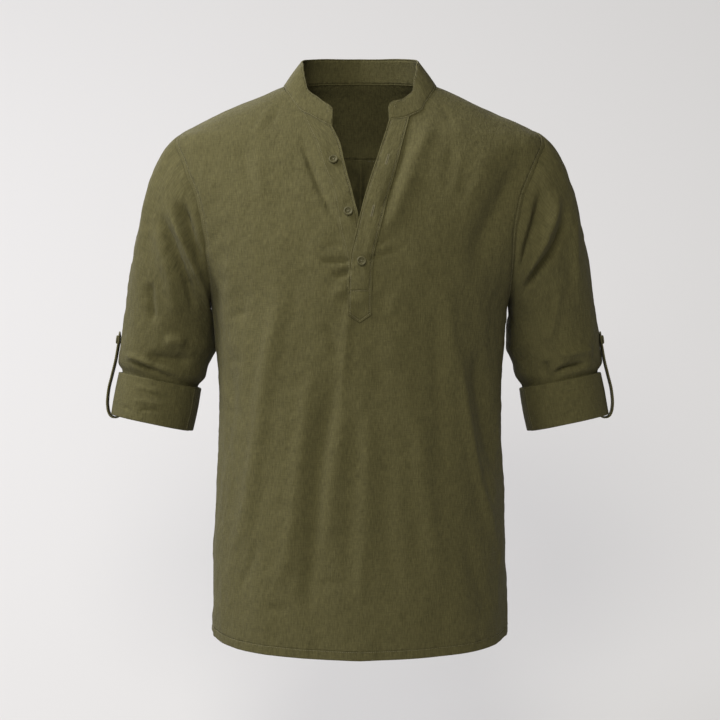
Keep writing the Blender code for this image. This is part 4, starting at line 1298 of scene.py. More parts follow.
def on_collar(angle, part, settings):
    """Points and outward directions of the middle of the collar band, part 0 at its foot and 1 at its top.

    The foot follows the neckline and stands a little proud in front; the top is carried up by the rise
    and in by the lean, level with the neckline's own turn. Its free corners are rounded off.
    """
    folded = from_front(angle)
    front = 1 - ease((folded - COLLAR_PROUD_FADE[0]) / (COLLAR_PROUD_FADE[1] - COLLAR_PROUD_FADE[0]))
    proud = COLLAR_PROUD + (COLLAR_FRONT_STANDS_PROUD - COLLAR_PROUD) * front
    lower, _ = on_body(angle, neckline(angle), proud, settings)
    ahead, behind = (body(a, neckline(a)) for a in (angle + COLLAR_CHORD, angle - COLLAR_CHORD))
    inward = unit(np.cross((0.0, 0.0, 1.0), ahead - behind))
    lean, rise = (read(COLLAR_BAND, COLLAR_COLUMNS, name, folded)[:, None] for name in ("lean", "rise"))
    climb = inward * lean + rise * (0.0, 0.0, 1.0)
    length = totals(steps(lower, 0))
    into_corner = 1 - np.clip(np.minimum(length, length[-1] - length) / COLLAR_CORNER_RADIUS, 0, 1)
    cut = COLLAR_CORNER_RADIUS * (1 - np.sqrt(1 - into_corner**2))
    part = part[:, None] * (1 - cut / np.linalg.norm(climb, axis=1))
    points = lower - (0.0, 0.0, COLLAR_TUCK) + climb * part[..., None]
    points[..., 2] += COLLAR_TUCK * part
    outward = unit(np.cross(np.gradient(points, axis=1), np.broadcast_to(climb, points.shape)))
    wave = noise(points / COLLAR_WAVE_SIZE, COLLAR_WAVE_SEED) * COLLAR_WAVE * part
    bulge = COLLAR_BULGE * np.sin(math.pi * part) + wave - COLLAR_WALL / 2
    return points + outward * bulge[..., None], outward


def add_collar(settings):
    """The collar band, from end to end round the neck and from its foot to its top."""
    start, end = collar_ends()
    angle = start + (end - start) * parts(COLLAR_COLUMNS_ROUND, COLLAR_LENGTH, SLAB_FINE)
    sheet, normals = on_collar(angle, parts(COLLAR_ROWS, COLLAR_HEIGHT, SLAB_FINE), settings)
    press = np.abs(edge_distance(sheet, ALL_EDGES) - EDGE_STITCH)
    return add_grid("collar_cloth", sheet, normals, COLLAR_WALL, ALL_EDGES, press, settings)


def sleeve_rings():
    """The sleeve's rings, with those inside the cuff worked out from the cuff's own."""
    rows = list(SLEEVE_RINGS)
    for station, cuff_row in zip(SLEEVE_CUFF_STATIONS, CUFF_RINGS):
        _, outer_x, outer_z, inner_x, inner_z, middle_y, depth = cuff_row
        row = (station, outer_x - SLEEVE_IN_CUFF, outer_z, inner_x + SLEEVE_IN_CUFF, inner_z)
        rows.append((*row, middle_y, depth - SLEEVE_IN_CUFF))
    return tuple(rows)


def ring(table, turn, station):
    """Points round the right arm's rings: out and in along the ring's line by the cosine, and forward
    and back of its middle by the sine."""
    turn, station = np.broadcast_arrays(np.radians(turn), station)
    at = {name: read(table, RING_COLUMNS, name, station) for name in RING_COLUMNS[1:]}
    out = (1 + np.cos(turn)) / 2
    x = at["inner_x"] + (at["outer_x"] - at["inner_x"]) * out
    z = at["inner_z"] + (at["outer_z"] - at["inner_z"]) * out
    y = at["middle_y"] - at["half_depth"] * np.sin(turn)
    return np.stack([x, y, z], axis=-1)


def sleeve_cap(turn, part, side, settings):
    """From the armhole (part 0) to the first ring (part 1) of the right arm, along one cubic for each turn.

    It leaves the folded body outwards and down, steeper towards the underarm, and meets the first ring
    along the arm. The left arm is mirrored here, so that it too starts on its own side of the body.
    """
    angle, height = armhole(turn)
    start = on_body(side * angle, height, -PANEL_WALL / 2, settings)[0] * (side, 1.0, 1.0)
    rings = sleeve_rings()
    end = ring(rings, turn, 0.0)
    reach = np.linalg.norm(end - start, axis=-1, keepdims=True)
    slope = np.radians(SLEEVE_SLOPE_MIDDLE - SLEEVE_SLOPE_SWING * np.cos(np.radians(turn)))
    forward = -SLEEVE_START_FORWARD * np.sin(np.radians(turn))
    leave = unit(np.stack([np.cos(slope), forward, -np.sin(slope)], axis=-1)) * reach * SLEEVE_START_PULL
    arrive = unit(ring(rings, turn, STATION_STEP) - end) * reach * SLEEVE_END_PULL
    return cubic(part[:, None, None], start, leave, end, arrive)


def mirrored(table):
    """A table of creases for the other side: x and roll change sign."""
    return tuple((width, depth, -roll, tuple((-x, z) for x, z in path)) for width, depth, roll, path in table)


def arm_relief(points, normals, side, settings):
    """Height of an arm's folds. Behind, it has the other arm's folds, mirrored."""
    front_table, other = (ARM_FOLDS_RIGHT, ARM_FOLDS_LEFT)[::side]
    flat, flat_normals = points.reshape(-1, 3), normals.reshape(-1, 3)
    relief = relief_of(flat, flat_normals, front_table, mirrored(other), settings)
    return relief.reshape(points.shape[:2])


def arm_turns():
    """Turns once round an arm from the underarm."""
    return 180 + np.arange(ARM_TURNS) * 360 / ARM_TURNS


def add_sleeve(name, side, settings):
    """A sleeve from the armhole over its cap and down its rings into the cuff, moved out by its folds,
    which fade at both ends. Both arms are worked out as the right one, and mirror makes each its own."""
    mirror = (side, 1.0, 1.0)
    turn = arm_turns()
    cap = sleeve_cap(turn, parts(CAP_ROWS, CAP_LENGTH), side, settings)
    station = np.linspace(0, 1, SLEEVE_ROWS + 1)[1:, None]
    sheet = np.concatenate([cap, ring(sleeve_rings(), turn[None], station)])
    station = np.concatenate([np.zeros((len(cap), 1)), station])
    normals = grid_normals(sheet, wrap=True)
    from_start = edge_distance(sheet, ("top",))
    own = arm_relief(sheet * mirror, normals * mirror, side, settings)
    fade = ease(from_start / SLEEVE_START_FADE) * (1 - ease((station - SLEEVE_FADE[0]) / SLEEVE_FADE[1]))
    lift = own * fade - PANEL_WALL / 2 * ease(station / SLEEVE_SETTLES_BY)
    sheet = (sheet + normals * lift[..., None]) * mirror
    press = np.full_like(lift, FAR_FROM_STITCHES)
    return add_grid(name, sheet, normals * mirror, PANEL_WALL, ("top", "bottom"), press, settings, True)


def on_cuff(turn, station, side, lift, settings):
    """Points and outward directions of a cuff's middle: its ring on the right arm, mirrored for the left,
    with small creases, and the ridge of the seam that runs down the arm, a steep-sided bell curve."""
    points = ring(CUFF_RINGS, turn, station)
    normals = grid_normals(points, wrap=points.shape[1] == ARM_TURNS)
    points, normals = points * (side, 1.0, 1.0), normals * (side, 1.0, 1.0)
    creases = crease_relief(points.reshape(-1, 3), CUFF_FOLDS_RIGHT if side > 0 else CUFF_FOLDS_LEFT)
    ripple = settings.fold_depth * creases.reshape(points.shape[:2])
    ripple = ripple + hang(points + CUFF_NOISE_SHIFT, settings.hang_depth * CUFF_HANG)
    away = np.radians(turn - CUFF_SEAM_TURN) * CUFF_SEAM_RADIUS
    ridge = CUFF_SEAM_HEIGHT * np.exp(-((away / CUFF_SEAM_WIDTH) ** 4))
    return points + normals * (ripple + ridge + lift - CUFF_WALL / 2)[..., None], normals


def add_cuff(name, side, settings):
    """A cuff, once round the arm and from its top to the hem."""
    station = parts(CUFF_ROWS, CUFF_HEIGHT, SLAB_FINE)[:, None]
    turn, station = np.broadcast_arrays(arm_turns() % 360, station)
    sheet, normals = on_cuff(turn, station, side, 0.0, settings)
    press = np.abs(np.radians(turn - CUFF_SEAM_TURN) * CUFF_SEAM_RADIUS - CUFF_SEAM_WIDTH)
    return add_grid(name, sheet, normals, CUFF_WALL, ("top", "bottom"), press, settings, True)


def tab_line(at):
    """The strap's middle line at rows of its table, and the outward directions there, in x and z: its
    heading turned by a quarter."""
    around = (-TAB_LINE_STEP, 0.0, TAB_LINE_STEP)
    before, point, after = (curve(TAB_PATH, np.clip(at + step, 0, TAB_END)) for step in around)
    heading = unit(after - before)
    return point, np.stack([heading[..., 1], -heading[..., 0]], axis=-1)


def on_tab(at, across, side, lift):
    """Points and outward directions of a strap: its line carried across, with a pointed free end that
    drops by the distance across times an ease."""
    line, outward = tab_line(at)
    drop = TAB_TIP_DROP * np.abs(across) * ease((at - TAB_TIP_START) / (TAB_END - TAB_TIP_START))
    x, z = np.moveaxis(line + outward * lift, -1, 0)
    y = TAB_MIDDLE_Y + TAB_HALF_WIDTH * across
    points = np.stack(np.broadcast_arrays(side * x, y, z - drop), axis=-1)
    normals = np.stack(np.broadcast_arrays(side * outward[..., 0], 0 * y, outward[..., 1]), axis=-1)
    return points, normals


def add_tab(name, side, settings):
    """A strap from inside the sleeve round the cuff's hem and up to its point."""
    at = TAB_END * parts(TAB_ROWS, TAB_LENGTH, SLAB_FINE)[:, None]
    across = 2 * parts(TAB_COLUMNS, 2 * TAB_HALF_WIDTH, SLAB_FINE)[None] - 1
    sheet, normals = on_tab(at, across, side, 0.0)
    press = np.abs(edge_distance(sheet, ALL_EDGES) - EDGE_STITCH)
    return add_grid(name, sheet, normals, TAB_WALL, ALL_EDGES, press, settings)


def button_shape():
    """A turned disc with a raised rim, a dished face and four holes, its back at z = 0.

    The radius and height follow the profile. Each hole takes a smooth well out of the face, its depth
    times the falling ease of the distance from the hole's middle.
    """
    at = np.linspace(0, len(BUTTON_PROFILE) - 1, BUTTON_RINGS)
    radius, height = (curve(BUTTON_PROFILE, at) * (BUTTON_RADIUS, BUTTON_THICK)).T[..., None]
    face = np.arange(BUTTON_RINGS)[:, None] > BUTTON_FACE_FROM * (BUTTON_RINGS - 1)
    around = round_turns(BUTTON_SIDES)
    x, y = radius * np.cos(around), radius * np.sin(around)
    z = height + 0 * x
    for hole in np.radians(BUTTON_HOLE_TURNS):
        from_hole = np.hypot(x - BUTTON_HOLE_AT * math.cos(hole), y - BUTTON_HOLE_AT * math.sin(hole))
        z -= face * BUTTON_HOLE_DEEP * (1 - ease(from_hole / BUTTON_HOLE_RADIUS - 0.5))
    grid = np.stack([x, y, z], axis=-1).reshape(-1, 3)
    points = np.concatenate([[(0.0, 0.0, 0.0)], grid, [(0.0, 0.0, height[-1, 0])]])
    return points, capped_faces(BUTTON_RINGS, BUTTON_SIDES)


def button_threads():
    """Two crossed pairs of threads over the holes and the bundle of threads under the button."""
    upward, outward = (0.0, 0.0, 1.0), (1.0, 0.0, 0.0)
    diagonal = unit(np.array([(1.0, 1.0, 0.0), (1.0, -1.0, 0.0)]))
    beside = np.cross(upward, diagonal) * BUTTON_THREAD_RADIUS
    centres = np.concatenate([-beside, beside]) + (0.0, 0.0, BUTTON_THICK * BUTTON_THREAD_HEIGHT)
    along = np.concatenate([diagonal, diagonal])
    up = np.broadcast_to(upward, along.shape)
    crossed = threads(centres, along, up, BUTTON_THREAD_REACH, BUTTON_THREAD_RADIUS)
    around = round_turns(SHANK_THREADS)
    drop = np.full(SHANK_THREADS, -SHANK_DROP)
    feet = np.stack([SHANK_SPREAD * np.cos(around), SHANK_SPREAD * np.sin(around), drop], axis=-1)
    along, up = (np.broadcast_to(way, feet.shape) for way in (upward, outward))
    return joined([crossed, threads(feet, along, up, SHANK_LENGTH / 2, SHANK_THREAD_RADIUS)])


def placed(points, centre, outward):
    """Points turned so that their z looks along outward, and moved to centre."""
    turn = np.array(Vector(outward).to_track_quat("Z", "Y").to_matrix())
    return points @ turn.T + centre


def add_button(name, node, centre, outward, trim):
    """A button with its threads, its back at centre and its face along outward."""
    points, faces = button_shape()
    made = add_mesh(name, placed(points, centre, outward), faces, plastic(trim))
    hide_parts(node)
    points, faces = button_threads()
    sewing = add_mesh(f"{name}_threads", placed(points, centre, outward), faces, thread(trim))


def rows_on_body(path, settings):
    """A run of stitches along (angle, height) pairs on the body's face."""
    return on_body(path[:, 0], path[:, 1], STITCH_LIFT, settings)


def body_runs(settings):
    """Stitching of the hem, beside the armholes and along the yoke's seams."""
    t = np.linspace(0, 1, RUN_POINTS)
    turn = 360 * t
    runs = [rows_on_body(places(turn, hem_height(turn) + HEM_STITCH), settings)]
    start, end = SHOULDER_STITCH_ENDS
    for side in (1, -1):
        gap = np.linalg.norm(body(*armhole(turn, 1 + ARMHOLE_STEP)) - body(*armhole(turn)), axis=1)
        angle, height = armhole(turn, 1 + ARMHOLE_STEP * ARMHOLE_STITCH / gap)
        runs.append(rows_on_body(places(side * angle, height), settings))
        angle, height = shoulder_seam(start + (end - start) * t)
        runs.append(rows_on_body(places(side * angle, height + EDGE_STITCH), settings))
    angle, height = yoke_seam(np.abs(2 * t - 1) * YOKE_STITCH_END)
    angle = np.where(t < 0.5, angle, 360 - angle)
    runs.append(rows_on_body(places(angle, height + EDGE_STITCH), settings))
    return runs


def strip_run(side, columns, height, settings):
    """Points and directions on the face of a strip, where stitches lie."""
    return on_strip(side, columns, height, STRIP_WALL / 2 + STITCH_LIFT, settings)


def placket_runs(settings):
    """Stitching inside both edges of the strips, round the over strip's point and across its foot."""
    t = np.linspace(0, 1, RUN_POINTS)
    runs = []
    for side, foot in ((1, OVER_PLACKET_FOOT), (-1, UNDER_PLACKET_FOOT)):
        for edge in (0.0, 1.0):
            top = float(side_neckline(side, strip_top(side, edge))) - STRIP_STITCH
            height = top + (foot - top) * t
            free, seam = strip_edges(side, height)
            inset = STRIP_STITCH / np.abs(seam - free)
            runs.append(strip_run(side, np.abs(edge - inset), height, settings))
    inset = STRIP_STITCH / abs(float(np.subtract(*strip_edges(1, PLACKET_BAR_HEIGHT))))
    columns = inset + (1 - 2 * inset) * t
    runs.append(strip_run(1, columns, np.full_like(t, PLACKET_BAR_HEIGHT), settings))
    runs.append(strip_run(1, columns, over_foot(columns) + STRIP_STITCH, settings))
    return runs


def collar_runs(settings):
    """Stitching inside the collar's foot and its top."""
    start, end = np.add(collar_ends(), (COLLAR_END_INSET, -COLLAR_END_INSET))
    angle = start + (end - start) * np.linspace(0, 1, RUN_POINTS)
    part = np.array([EDGE_STITCH, COLLAR_HEIGHT - EDGE_STITCH]) / COLLAR_HEIGHT
    points, normals = on_collar(angle, part, settings)
    return list(zip(points + normals * (COLLAR_WALL / 2 + STITCH_LIFT), normals))


def cuff_runs(settings):
    """Stitching on both sides of the ridge that runs down each cuff."""
    station = np.linspace(*CUFF_STITCH_ENDS, CUFF_STITCH_POINTS)[:, None]
    runs = []
    for side in (1, -1):
        for across in (-1, 1):
            away = math.degrees(across * CUFF_SEAM_WIDTH / CUFF_SEAM_RADIUS)
            turn = CUFF_SEAM_TURN + away + np.array([[-ANGLE_STEP, 0.0, ANGLE_STEP]])
            turn, at = np.broadcast_arrays(turn, station)
            points, normals = on_cuff(turn, at, side, CUFF_WALL / 2 + STITCH_LIFT, settings)
            runs.append((points[:, 1], normals[:, 1]))
    return runs


def tab_runs():
    """Stitching inside both long edges of each strap."""
    at = np.linspace(*TAB_STITCH_ENDS, RUN_POINTS)
    across = 1 - EDGE_STITCH / TAB_HALF_WIDTH
    lift = TAB_WALL / 2 + STITCH_LIFT
    return [on_tab(at, edge * across, side, lift) for side in (1, -1) for edge in (1, -1)]


def buttonhole_threads(height, settings):
    """A buttonhole along the over strip: short threads side by side down both of its sides."""
    count = BUTTONHOLE_THREADS
    climb = (np.arange(count) / (count - 1) - 0.5) * BUTTONHOLE_LENGTH
    half_column = BUTTONHOLE_HALF_WIDTH / abs(float(np.subtract(*strip_edges(1, height))))
    sides = []
    for across in (-1, 1):
        columns = np.full(count, BUTTONHOLE_COLUMN + across * half_column)
        points, normals = strip_run(1, columns, height + climb, settings)
        sides.append((points, unit(np.cross(normals, unit(np.gradient(points, axis=0)))), normals))
    centres, along, up = (np.concatenate(both) for both in zip(*sides))
    reach = BUTTONHOLE_HALF_WIDTH * BUTTONHOLE_THREAD_REACH
    return threads(centres, along, up, reach, BUTTONHOLE_LENGTH / count * BUTTONHOLE_THREAD_THICK)


def buttonhole_slit_shade(height, settings):
    """Painted shade in the gaping slit of a buttonhole: a dark lens on the strip, its half width the gape
    times a half sine.
    """
    part = np.linspace(0.0, 1.0, SLIT_ROWS)[:, None]
    across = np.linspace(-1.0, 1.0, SLIT_COLUMNS)[None]
    gape = SLIT_GAPE * np.sin(math.pi * (SLIT_BLUNT + (1 - 2 * SLIT_BLUNT) * part))
    columns = BUTTONHOLE_COLUMN + across * gape / abs(float(np.subtract(*strip_edges(1, height))))
    heights = height + (part - 0.5) * BUTTONHOLE_LENGTH * SLIT_LENGTH
    points, _ = strip_run(1, columns, np.broadcast_to(heights, columns.shape), settings)
    return points.reshape(-1, 3), grid_faces(SLIT_ROWS, SLIT_COLUMNS)


def node(tree, kind, inputs=(), **settings):
    """A shader node with its settings and inputs, each a value or the socket that feeds it."""
    made = tree.nodes.new(kind)
    for name, value in settings.items():
        setattr(made, name, value)
    for socket, value in dict(inputs).items():
        if isinstance(value, bpy.types.NodeSocket):
            tree.links.new(value, made.inputs[socket])
        else:
            made.inputs[socket].default_value = value
    return made


def calculate(tree, operation, *values):
    """The result of a Math node."""
    return node(tree, "ShaderNodeMath", dict(enumerate(values)), operation=operation).outputs[0]


def grain(tree, place, scale, detail=1.0):
    """Noise at a place, with one scale per metre or one for each axis."""
    if not isinstance(scale, float):
        place = node(tree, "ShaderNodeVectorMath", {0: place, 1: scale}, operation="MULTIPLY").outputs[0]
        scale = 1.0
    return node(tree, "ShaderNodeTexNoise", {"Vector": place, "Scale": scale, "Detail": detail}).outputs[0]


def centred(tree, value):
    """A noise's value less its mean."""
    return calculate(tree, "SUBTRACT", value, 0.5)


def bumped(tree, height, distance, **under):
    """The normals of a surface raised by a height times a distance, over those of another bump."""
    return node(tree, "ShaderNodeBump", {"Height": height, "Distance": distance, **under}).outputs[0]


def new_group(name, inputs, outputs):
    """An empty node group with float and vector inputs and float outputs, and its two end nodes."""
    group = bpy.data.node_groups.new(name, "ShaderNodeTree")
    for label, kind, default in inputs:
        socket = group.interface.new_socket(label, in_out="INPUT", socket_type=kind)
        if kind == "NodeSocketFloat":
            socket.default_value = default
    for label in outputs:
        group.interface.new_socket(label, in_out="OUTPUT", socket_type="NodeSocketFloat")
    return group, group.nodes.new("NodeGroupInput"), group.nodes.new("NodeGroupOutput")


def weave_group():
    """Linen on the flat cut: a pillow for each thread, thick places along the threads, crumples and soft
    mottling.

    The pillow is the root of |cos(u) cos(v)| at half a turn a thread. Thick places are noise stretched
    along the weft and along the warp, less their mean. Tone is 1 plus a little of both.
    """
    known = bpy.data.node_groups.get("Linen weave")
    if known:
        return known
    inputs = (
        ("Cut", "NodeSocketVector", None),
        ("Place", "NodeSocketVector", None),
        ("Pitch", "NodeSocketFloat", 0.00055),
    )
    tree, start, end = new_group("Linen weave", inputs, ("Height", "Tone"))
    cut, place, pitch = (start.outputs[label] for label in ("Cut", "Place", "Pitch"))
    split = node(tree, "ShaderNodeSeparateXYZ", {0: cut})
    per_thread = calculate(tree, "DIVIDE", math.pi, pitch)
    turns = [calculate(tree, "MULTIPLY", split.outputs[i], per_thread) for i in (0, 1)]
    both = calculate(tree, "MULTIPLY", *(calculate(tree, "COSINE", turn) for turn in turns))
    pillow = calculate(tree, "SQRT", calculate(tree, "ABSOLUTE", both))
    warp = centred(tree, grain(tree, cut, (SLUB_ACROSS, SLUB_ALONG, 1.0), SLUB_DETAIL))
    weft = centred(tree, grain(tree, cut, (SLUB_ALONG, SLUB_ACROSS, 1.0), SLUB_DETAIL))
    slub = calculate(tree, "MULTIPLY_ADD", weft, WEFT_SHARE, warp)
    crumple = grain(tree, cut, CRUMPLE_SCALE, CRUMPLE_DETAIL)
    mottle = centred(tree, grain(tree, place, MOTTLE_SCALE, MOTTLE_DETAIL))
    height = calculate(tree, "MULTIPLY_ADD", slub, SLUB_HEIGHT, pillow)
    height = calculate(tree, "MULTIPLY_ADD", crumple, CRUMPLE_HEIGHT, height)
    tone = calculate(tree, "MULTIPLY_ADD", slub, SLUB_TONE, 1.0)
    tone = calculate(tree, "MULTIPLY_ADD", mottle, MOTTLE_TONE, tone)
    tree.links.new(height, end.inputs["Height"])
    tree.links.new(tone, end.inputs["Tone"])
    return tree


def press_group():
    """How cloth lies at a row of stitches: a groove along it, and puckers that die away from it.

    The groove is a bell curve of the distance over the width. The puckers are noise times a wider bell.
    """
    known = bpy.data.node_groups.get("Sewn press")
    if known:
        return known
    inputs = (
        ("Distance", "NodeSocketFloat", 1.0),
        ("Place", "NodeSocketVector", None),
        ("Width", "NodeSocketFloat", 0.0012),
    )
    tree, start, end = new_group("Sewn press", inputs, ("Height",))
    distance, place, width = (start.outputs[label] for label in ("Distance", "Place", "Width"))

    def bell(spread):
        part = calculate(tree, "DIVIDE", distance, spread)
        square = calculate(tree, "MULTIPLY", part, part)
        return calculate(tree, "EXPONENT", calculate(tree, "MULTIPLY", square, -1.0))

    groove = calculate(tree, "MULTIPLY", bell(width), -1.0)
    wide = bell(calculate(tree, "MULTIPLY", width, PUCKER_SPREAD))
    pucker = calculate(tree, "MULTIPLY", centred(tree, grain(tree, place, PUCKER_SCALE)), PUCKER_HEIGHT)
    tree.links.new(calculate(tree, "MULTIPLY_ADD", pucker, wide, groove), end.inputs["Height"])
    return tree


def new_material(name, **values):
    """A material, its node tree and its shader, given the values that are even over the surface."""
    made = bpy.data.materials.new(name)
    made.use_nodes = True
    shader = made.node_tree.nodes["Principled BSDF"]
    for label, value in values.items():
        shader.inputs[label.replace("_", " ")].default_value = value
    return made, made.node_tree, shader


def linen(cloth):
    """Matt linen: its colour with the weave's tone, over the bumps of the weave and of the sewing."""
    known = bpy.data.materials.get("Olive linen")
    if known:
        return known
    made, tree, shader = new_material(
        "Olive linen",
        Roughness=cloth.roughness,
        Specular_IOR_Level=LINEN_SPECULAR,
        Sheen_Weight=LINEN_SHEEN,
        Sheen_Roughness=LINEN_SHEEN_ROUGHNESS,
    )
    place = node(tree, "ShaderNodeTexCoord").outputs["Object"]
    cut = node(tree, "ShaderNodeUVMap", uv_map="Cut").outputs[0]
    flat = {"Cut": cut, "Place": place, "Pitch": cloth.thread_pitch}
    weave = node(tree, "ShaderNodeGroup", flat, node_tree=weave_group())
    distance = node(tree, "ShaderNodeAttribute", attribute_name="press").outputs["Fac"]
    press = node(tree, "ShaderNodeGroup", {"Distance": distance, "Place": place}, node_tree=press_group())
    tinted = {"Color": (*cloth.colour, 1.0), "Value": weave.outputs["Tone"]}
    colour = node(tree, "ShaderNodeHueSaturation", tinted).outputs[0]
    sewn_in = bumped(tree, press.outputs["Height"], cloth.press_depth)
    woven = bumped(tree, weave.outputs["Height"], cloth.weave_depth, Normal=sewn_in)
    tree.links.new(colour, shader.inputs["Base Color"])
    tree.links.new(woven, shader.inputs["Normal"])
    return made


def thread(trim):
    """Sewing thread: plain, matt."""
    known = bpy.data.materials.get("Olive thread")
    if known:
        return known
    made, _, shader = new_material("Olive thread", Roughness=THREAD_ROUGHNESS)
    shader.inputs["Base Color"].default_value = (*trim.thread_colour, 1.0)
    return made


def shade():
    """The unlit inside of a buttonhole: nearly black olive, mottled by noise as raw cut edges are."""
    made, tree, shader = new_material(
        "Buttonhole shade", Roughness=SLIT_ROUGHNESS, Specular_IOR_Level=0.0
    )
    place = node(tree, "ShaderNodeTexCoord").outputs["Object"]
    value = calculate(tree, "ADD", grain(tree, place, SLIT_GRAIN_SCALE), 0.5)
    colour = node(tree, "ShaderNodeHueSaturation", {"Color": SLIT_SHADE_COLOUR, "Value": value})
    tree.links.new(colour.outputs[0], shader.inputs["Base Color"])
    return made


def plastic(trim):
    """Button plastic: satin, with a faint cloudy grain from noise."""
    known = bpy.data.materials.get("Olive button")
    if known:
        return known
    made, tree, shader = new_material(
        "Olive button", Roughness=trim.button_roughness, Specular_IOR_Level=BUTTON_SPECULAR
    )
    place = node(tree, "ShaderNodeTexCoord").outputs["Object"]
    cloud = grain(tree, place, CLOUD_SCALE, CLOUD_DETAIL)
    value = calculate(tree, "MULTIPLY_ADD", cloud, CLOUD_TONE, CLOUD_DARKEST)
    colour = node(tree, "ShaderNodeHueSaturation", {"Color": (*trim.button_colour, 1.0), "Value": value})
    tree.links.new(colour.outputs[0], shader.inputs["Base Color"])
    return made


def backdrop_paper(stage):
    """Pale matt paper, seen only from its face, so that a view from behind looks through it."""
    made, tree, shader = new_material(
        "Backdrop paper",
        Base_Color=(*stage.paper, 1.0),
        Emission_Color=PAPER_GLOW_COLOUR,
        Emission_Strength=PAPER_GLOW,
        Roughness=1.0,
        Specular_IOR_Level=0.0,
    )
    clear = node(tree, "ShaderNodeBsdfTransparent")
    behind = node(tree, "ShaderNodeNewGeometry").outputs["Backfacing"]
    both = {0: behind, 1: shader.outputs[0], 2: clear.outputs[0]}
    mixed = node(tree, "ShaderNodeMixShader", both)
    tree.links.new(mixed.outputs[0], tree.nodes["Material Output"].inputs["Surface"])
    return made


def add_backdrop(stage):
    """The paper floor and the slope behind it: their profile carried from side to side."""
    corners = [(x, y, z) for y, z in PAPER_PROFILE for x in (-STAGE_HALF_WIDTH, STAGE_HALF_WIDTH)]
    mesh = bpy.data.meshes.new("backdrop")
    mesh.from_pydata(corners, [], [(0, 1, 3, 2), (2, 3, 5, 4)])
    mesh.materials.append(backdrop_paper(stage))
    made = bpy.data.objects.new("backdrop", mesh)
    bpy.context.scene.collection.objects.link(made)


def add_light(name, place, target, size, colour, power):
    """A round soft light at its place, turned to face its target."""
    light = bpy.data.lights.new(f"{name}_light", "AREA")
    light.shape = "DISK"
    light.size = size
    light.energy = power
    light.color = colour
    made = bpy.data.objects.new(f"{name}_light", light)
    made.location = place
    made.rotation_euler = (Vector(target) - Vector(place)).to_track_quat("-Z", "Y").to_euler()
    bpy.context.scene.collection.objects.link(made)


def add_air(stage):
    """Even light from all round, which the camera itself sees as pale grey."""
    world = bpy.data.worlds.new("Studio air")
    world.use_nodes = True
    air = world.node_tree
    seen = node(air, "ShaderNodeBackground", {"Color": SEEN_AIR, "Strength": 1.0})
    felt = air.nodes["Background"]
    felt.inputs["Color"].default_value = FELT_AIR
    felt.inputs["Strength"].default_value = stage.ambient
    at_camera = node(air, "ShaderNodeLightPath").outputs["Is Camera Ray"]
    both = node(air, "ShaderNodeMixShader", {0: at_camera, 1: felt.outputs[0], 2: seen.outputs[0]})
    air.links.new(both.outputs[0], air.nodes["World Output"].inputs["Surface"])
    bpy.context.scene.world = world


def add_camera():
    """The camera, level in front of the shirt. Its lens is the sensor's width times the distance, over
    the width that it takes in there."""
    camera = bpy.data.cameras.new("camera")
    camera.sensor_width = SENSOR
    camera.lens = SENSOR * -CAMERA_PLACE[1] / PICTURE_WIDTH
    eye = bpy.data.objects.new("camera", camera)
    eye.location = CAMERA_PLACE
    eye.rotation_euler = (math.pi / 2, 0.0, 0.0)
    bpy.context.scene.collection.objects.link(eye)
    bpy.context.scene.camera = eye


class ShirtCloth(bpy.types.PropertyGroup):
    """Settings of the cloth and its folds."""

    colour: FloatVectorProperty(
        name="Colour", description="Base colour of the linen", subtype="COLOR", size=3,
        default=(0.0790, 0.0708, 0.0290), min=0.0, max=1.0,
    )
    roughness: FloatProperty(
        name="Roughness", description="Roughness of the linen", subtype="FACTOR", default=0.88,
        min=0.0, max=1.0,
    )
    thread_pitch: FloatProperty(
        name="Thread pitch", description="Distance from one thread to the next", unit="LENGTH",
        default=0.00055, min=0.0002, max=0.002, precision=5,
    )
    weave_depth: FloatProperty(
        name="Weave depth", description="Depth of the threads and their thick places", unit="LENGTH",
        default=0.00012, min=0.0, max=0.001, precision=5,
    )
    press_depth: FloatProperty(
        name="Press depth", description="Depth of the groove at a row of stitches", unit="LENGTH",
        default=0.0010, min=0.0, max=0.002, precision=5,
    )
    fold_depth: FloatProperty(
        name="Fold depth", description="Depth of the creases against their measured depth",
        default=2.1, min=0.0, max=3.0,
    )
    hang_depth: FloatProperty(
        name="Hang", description="Height of the uneven hang of the cloth", unit="LENGTH",
        default=0.0022, min=0.0, max=0.005, precision=5,
    )


class ShirtTrim(bpy.types.PropertyGroup):
    """Settings of the thread and the buttons."""

    thread_colour: FloatVectorProperty(
        name="Thread colour", description="Colour of the stitches", subtype="COLOR", size=3,
        default=(0.150, 0.135, 0.070), min=0.0, max=1.0,
    )
    button_colour: FloatVectorProperty(
        name="Button colour", description="Colour of the buttons", subtype="COLOR", size=3,
        default=(0.072, 0.065, 0.027), min=0.0, max=1.0,
    )
    button_roughness: FloatProperty(
        name="Button roughness", description="Roughness of the buttons", subtype="FACTOR",
        default=0.55, min=0.0, max=1.0,
    )
    stitch_pitch: FloatProperty(
        name="Stitch pitch", description="Distance from one stitch to the next", unit="LENGTH",
        default=0.0024, min=0.001, max=0.006, precision=5,
    )
    stitch_width: FloatProperty(
        name="Stitch width", description="Thickness of the sewing thread", unit="LENGTH",
        default=0.00045, min=0.0001, max=0.001, precision=5,
    )


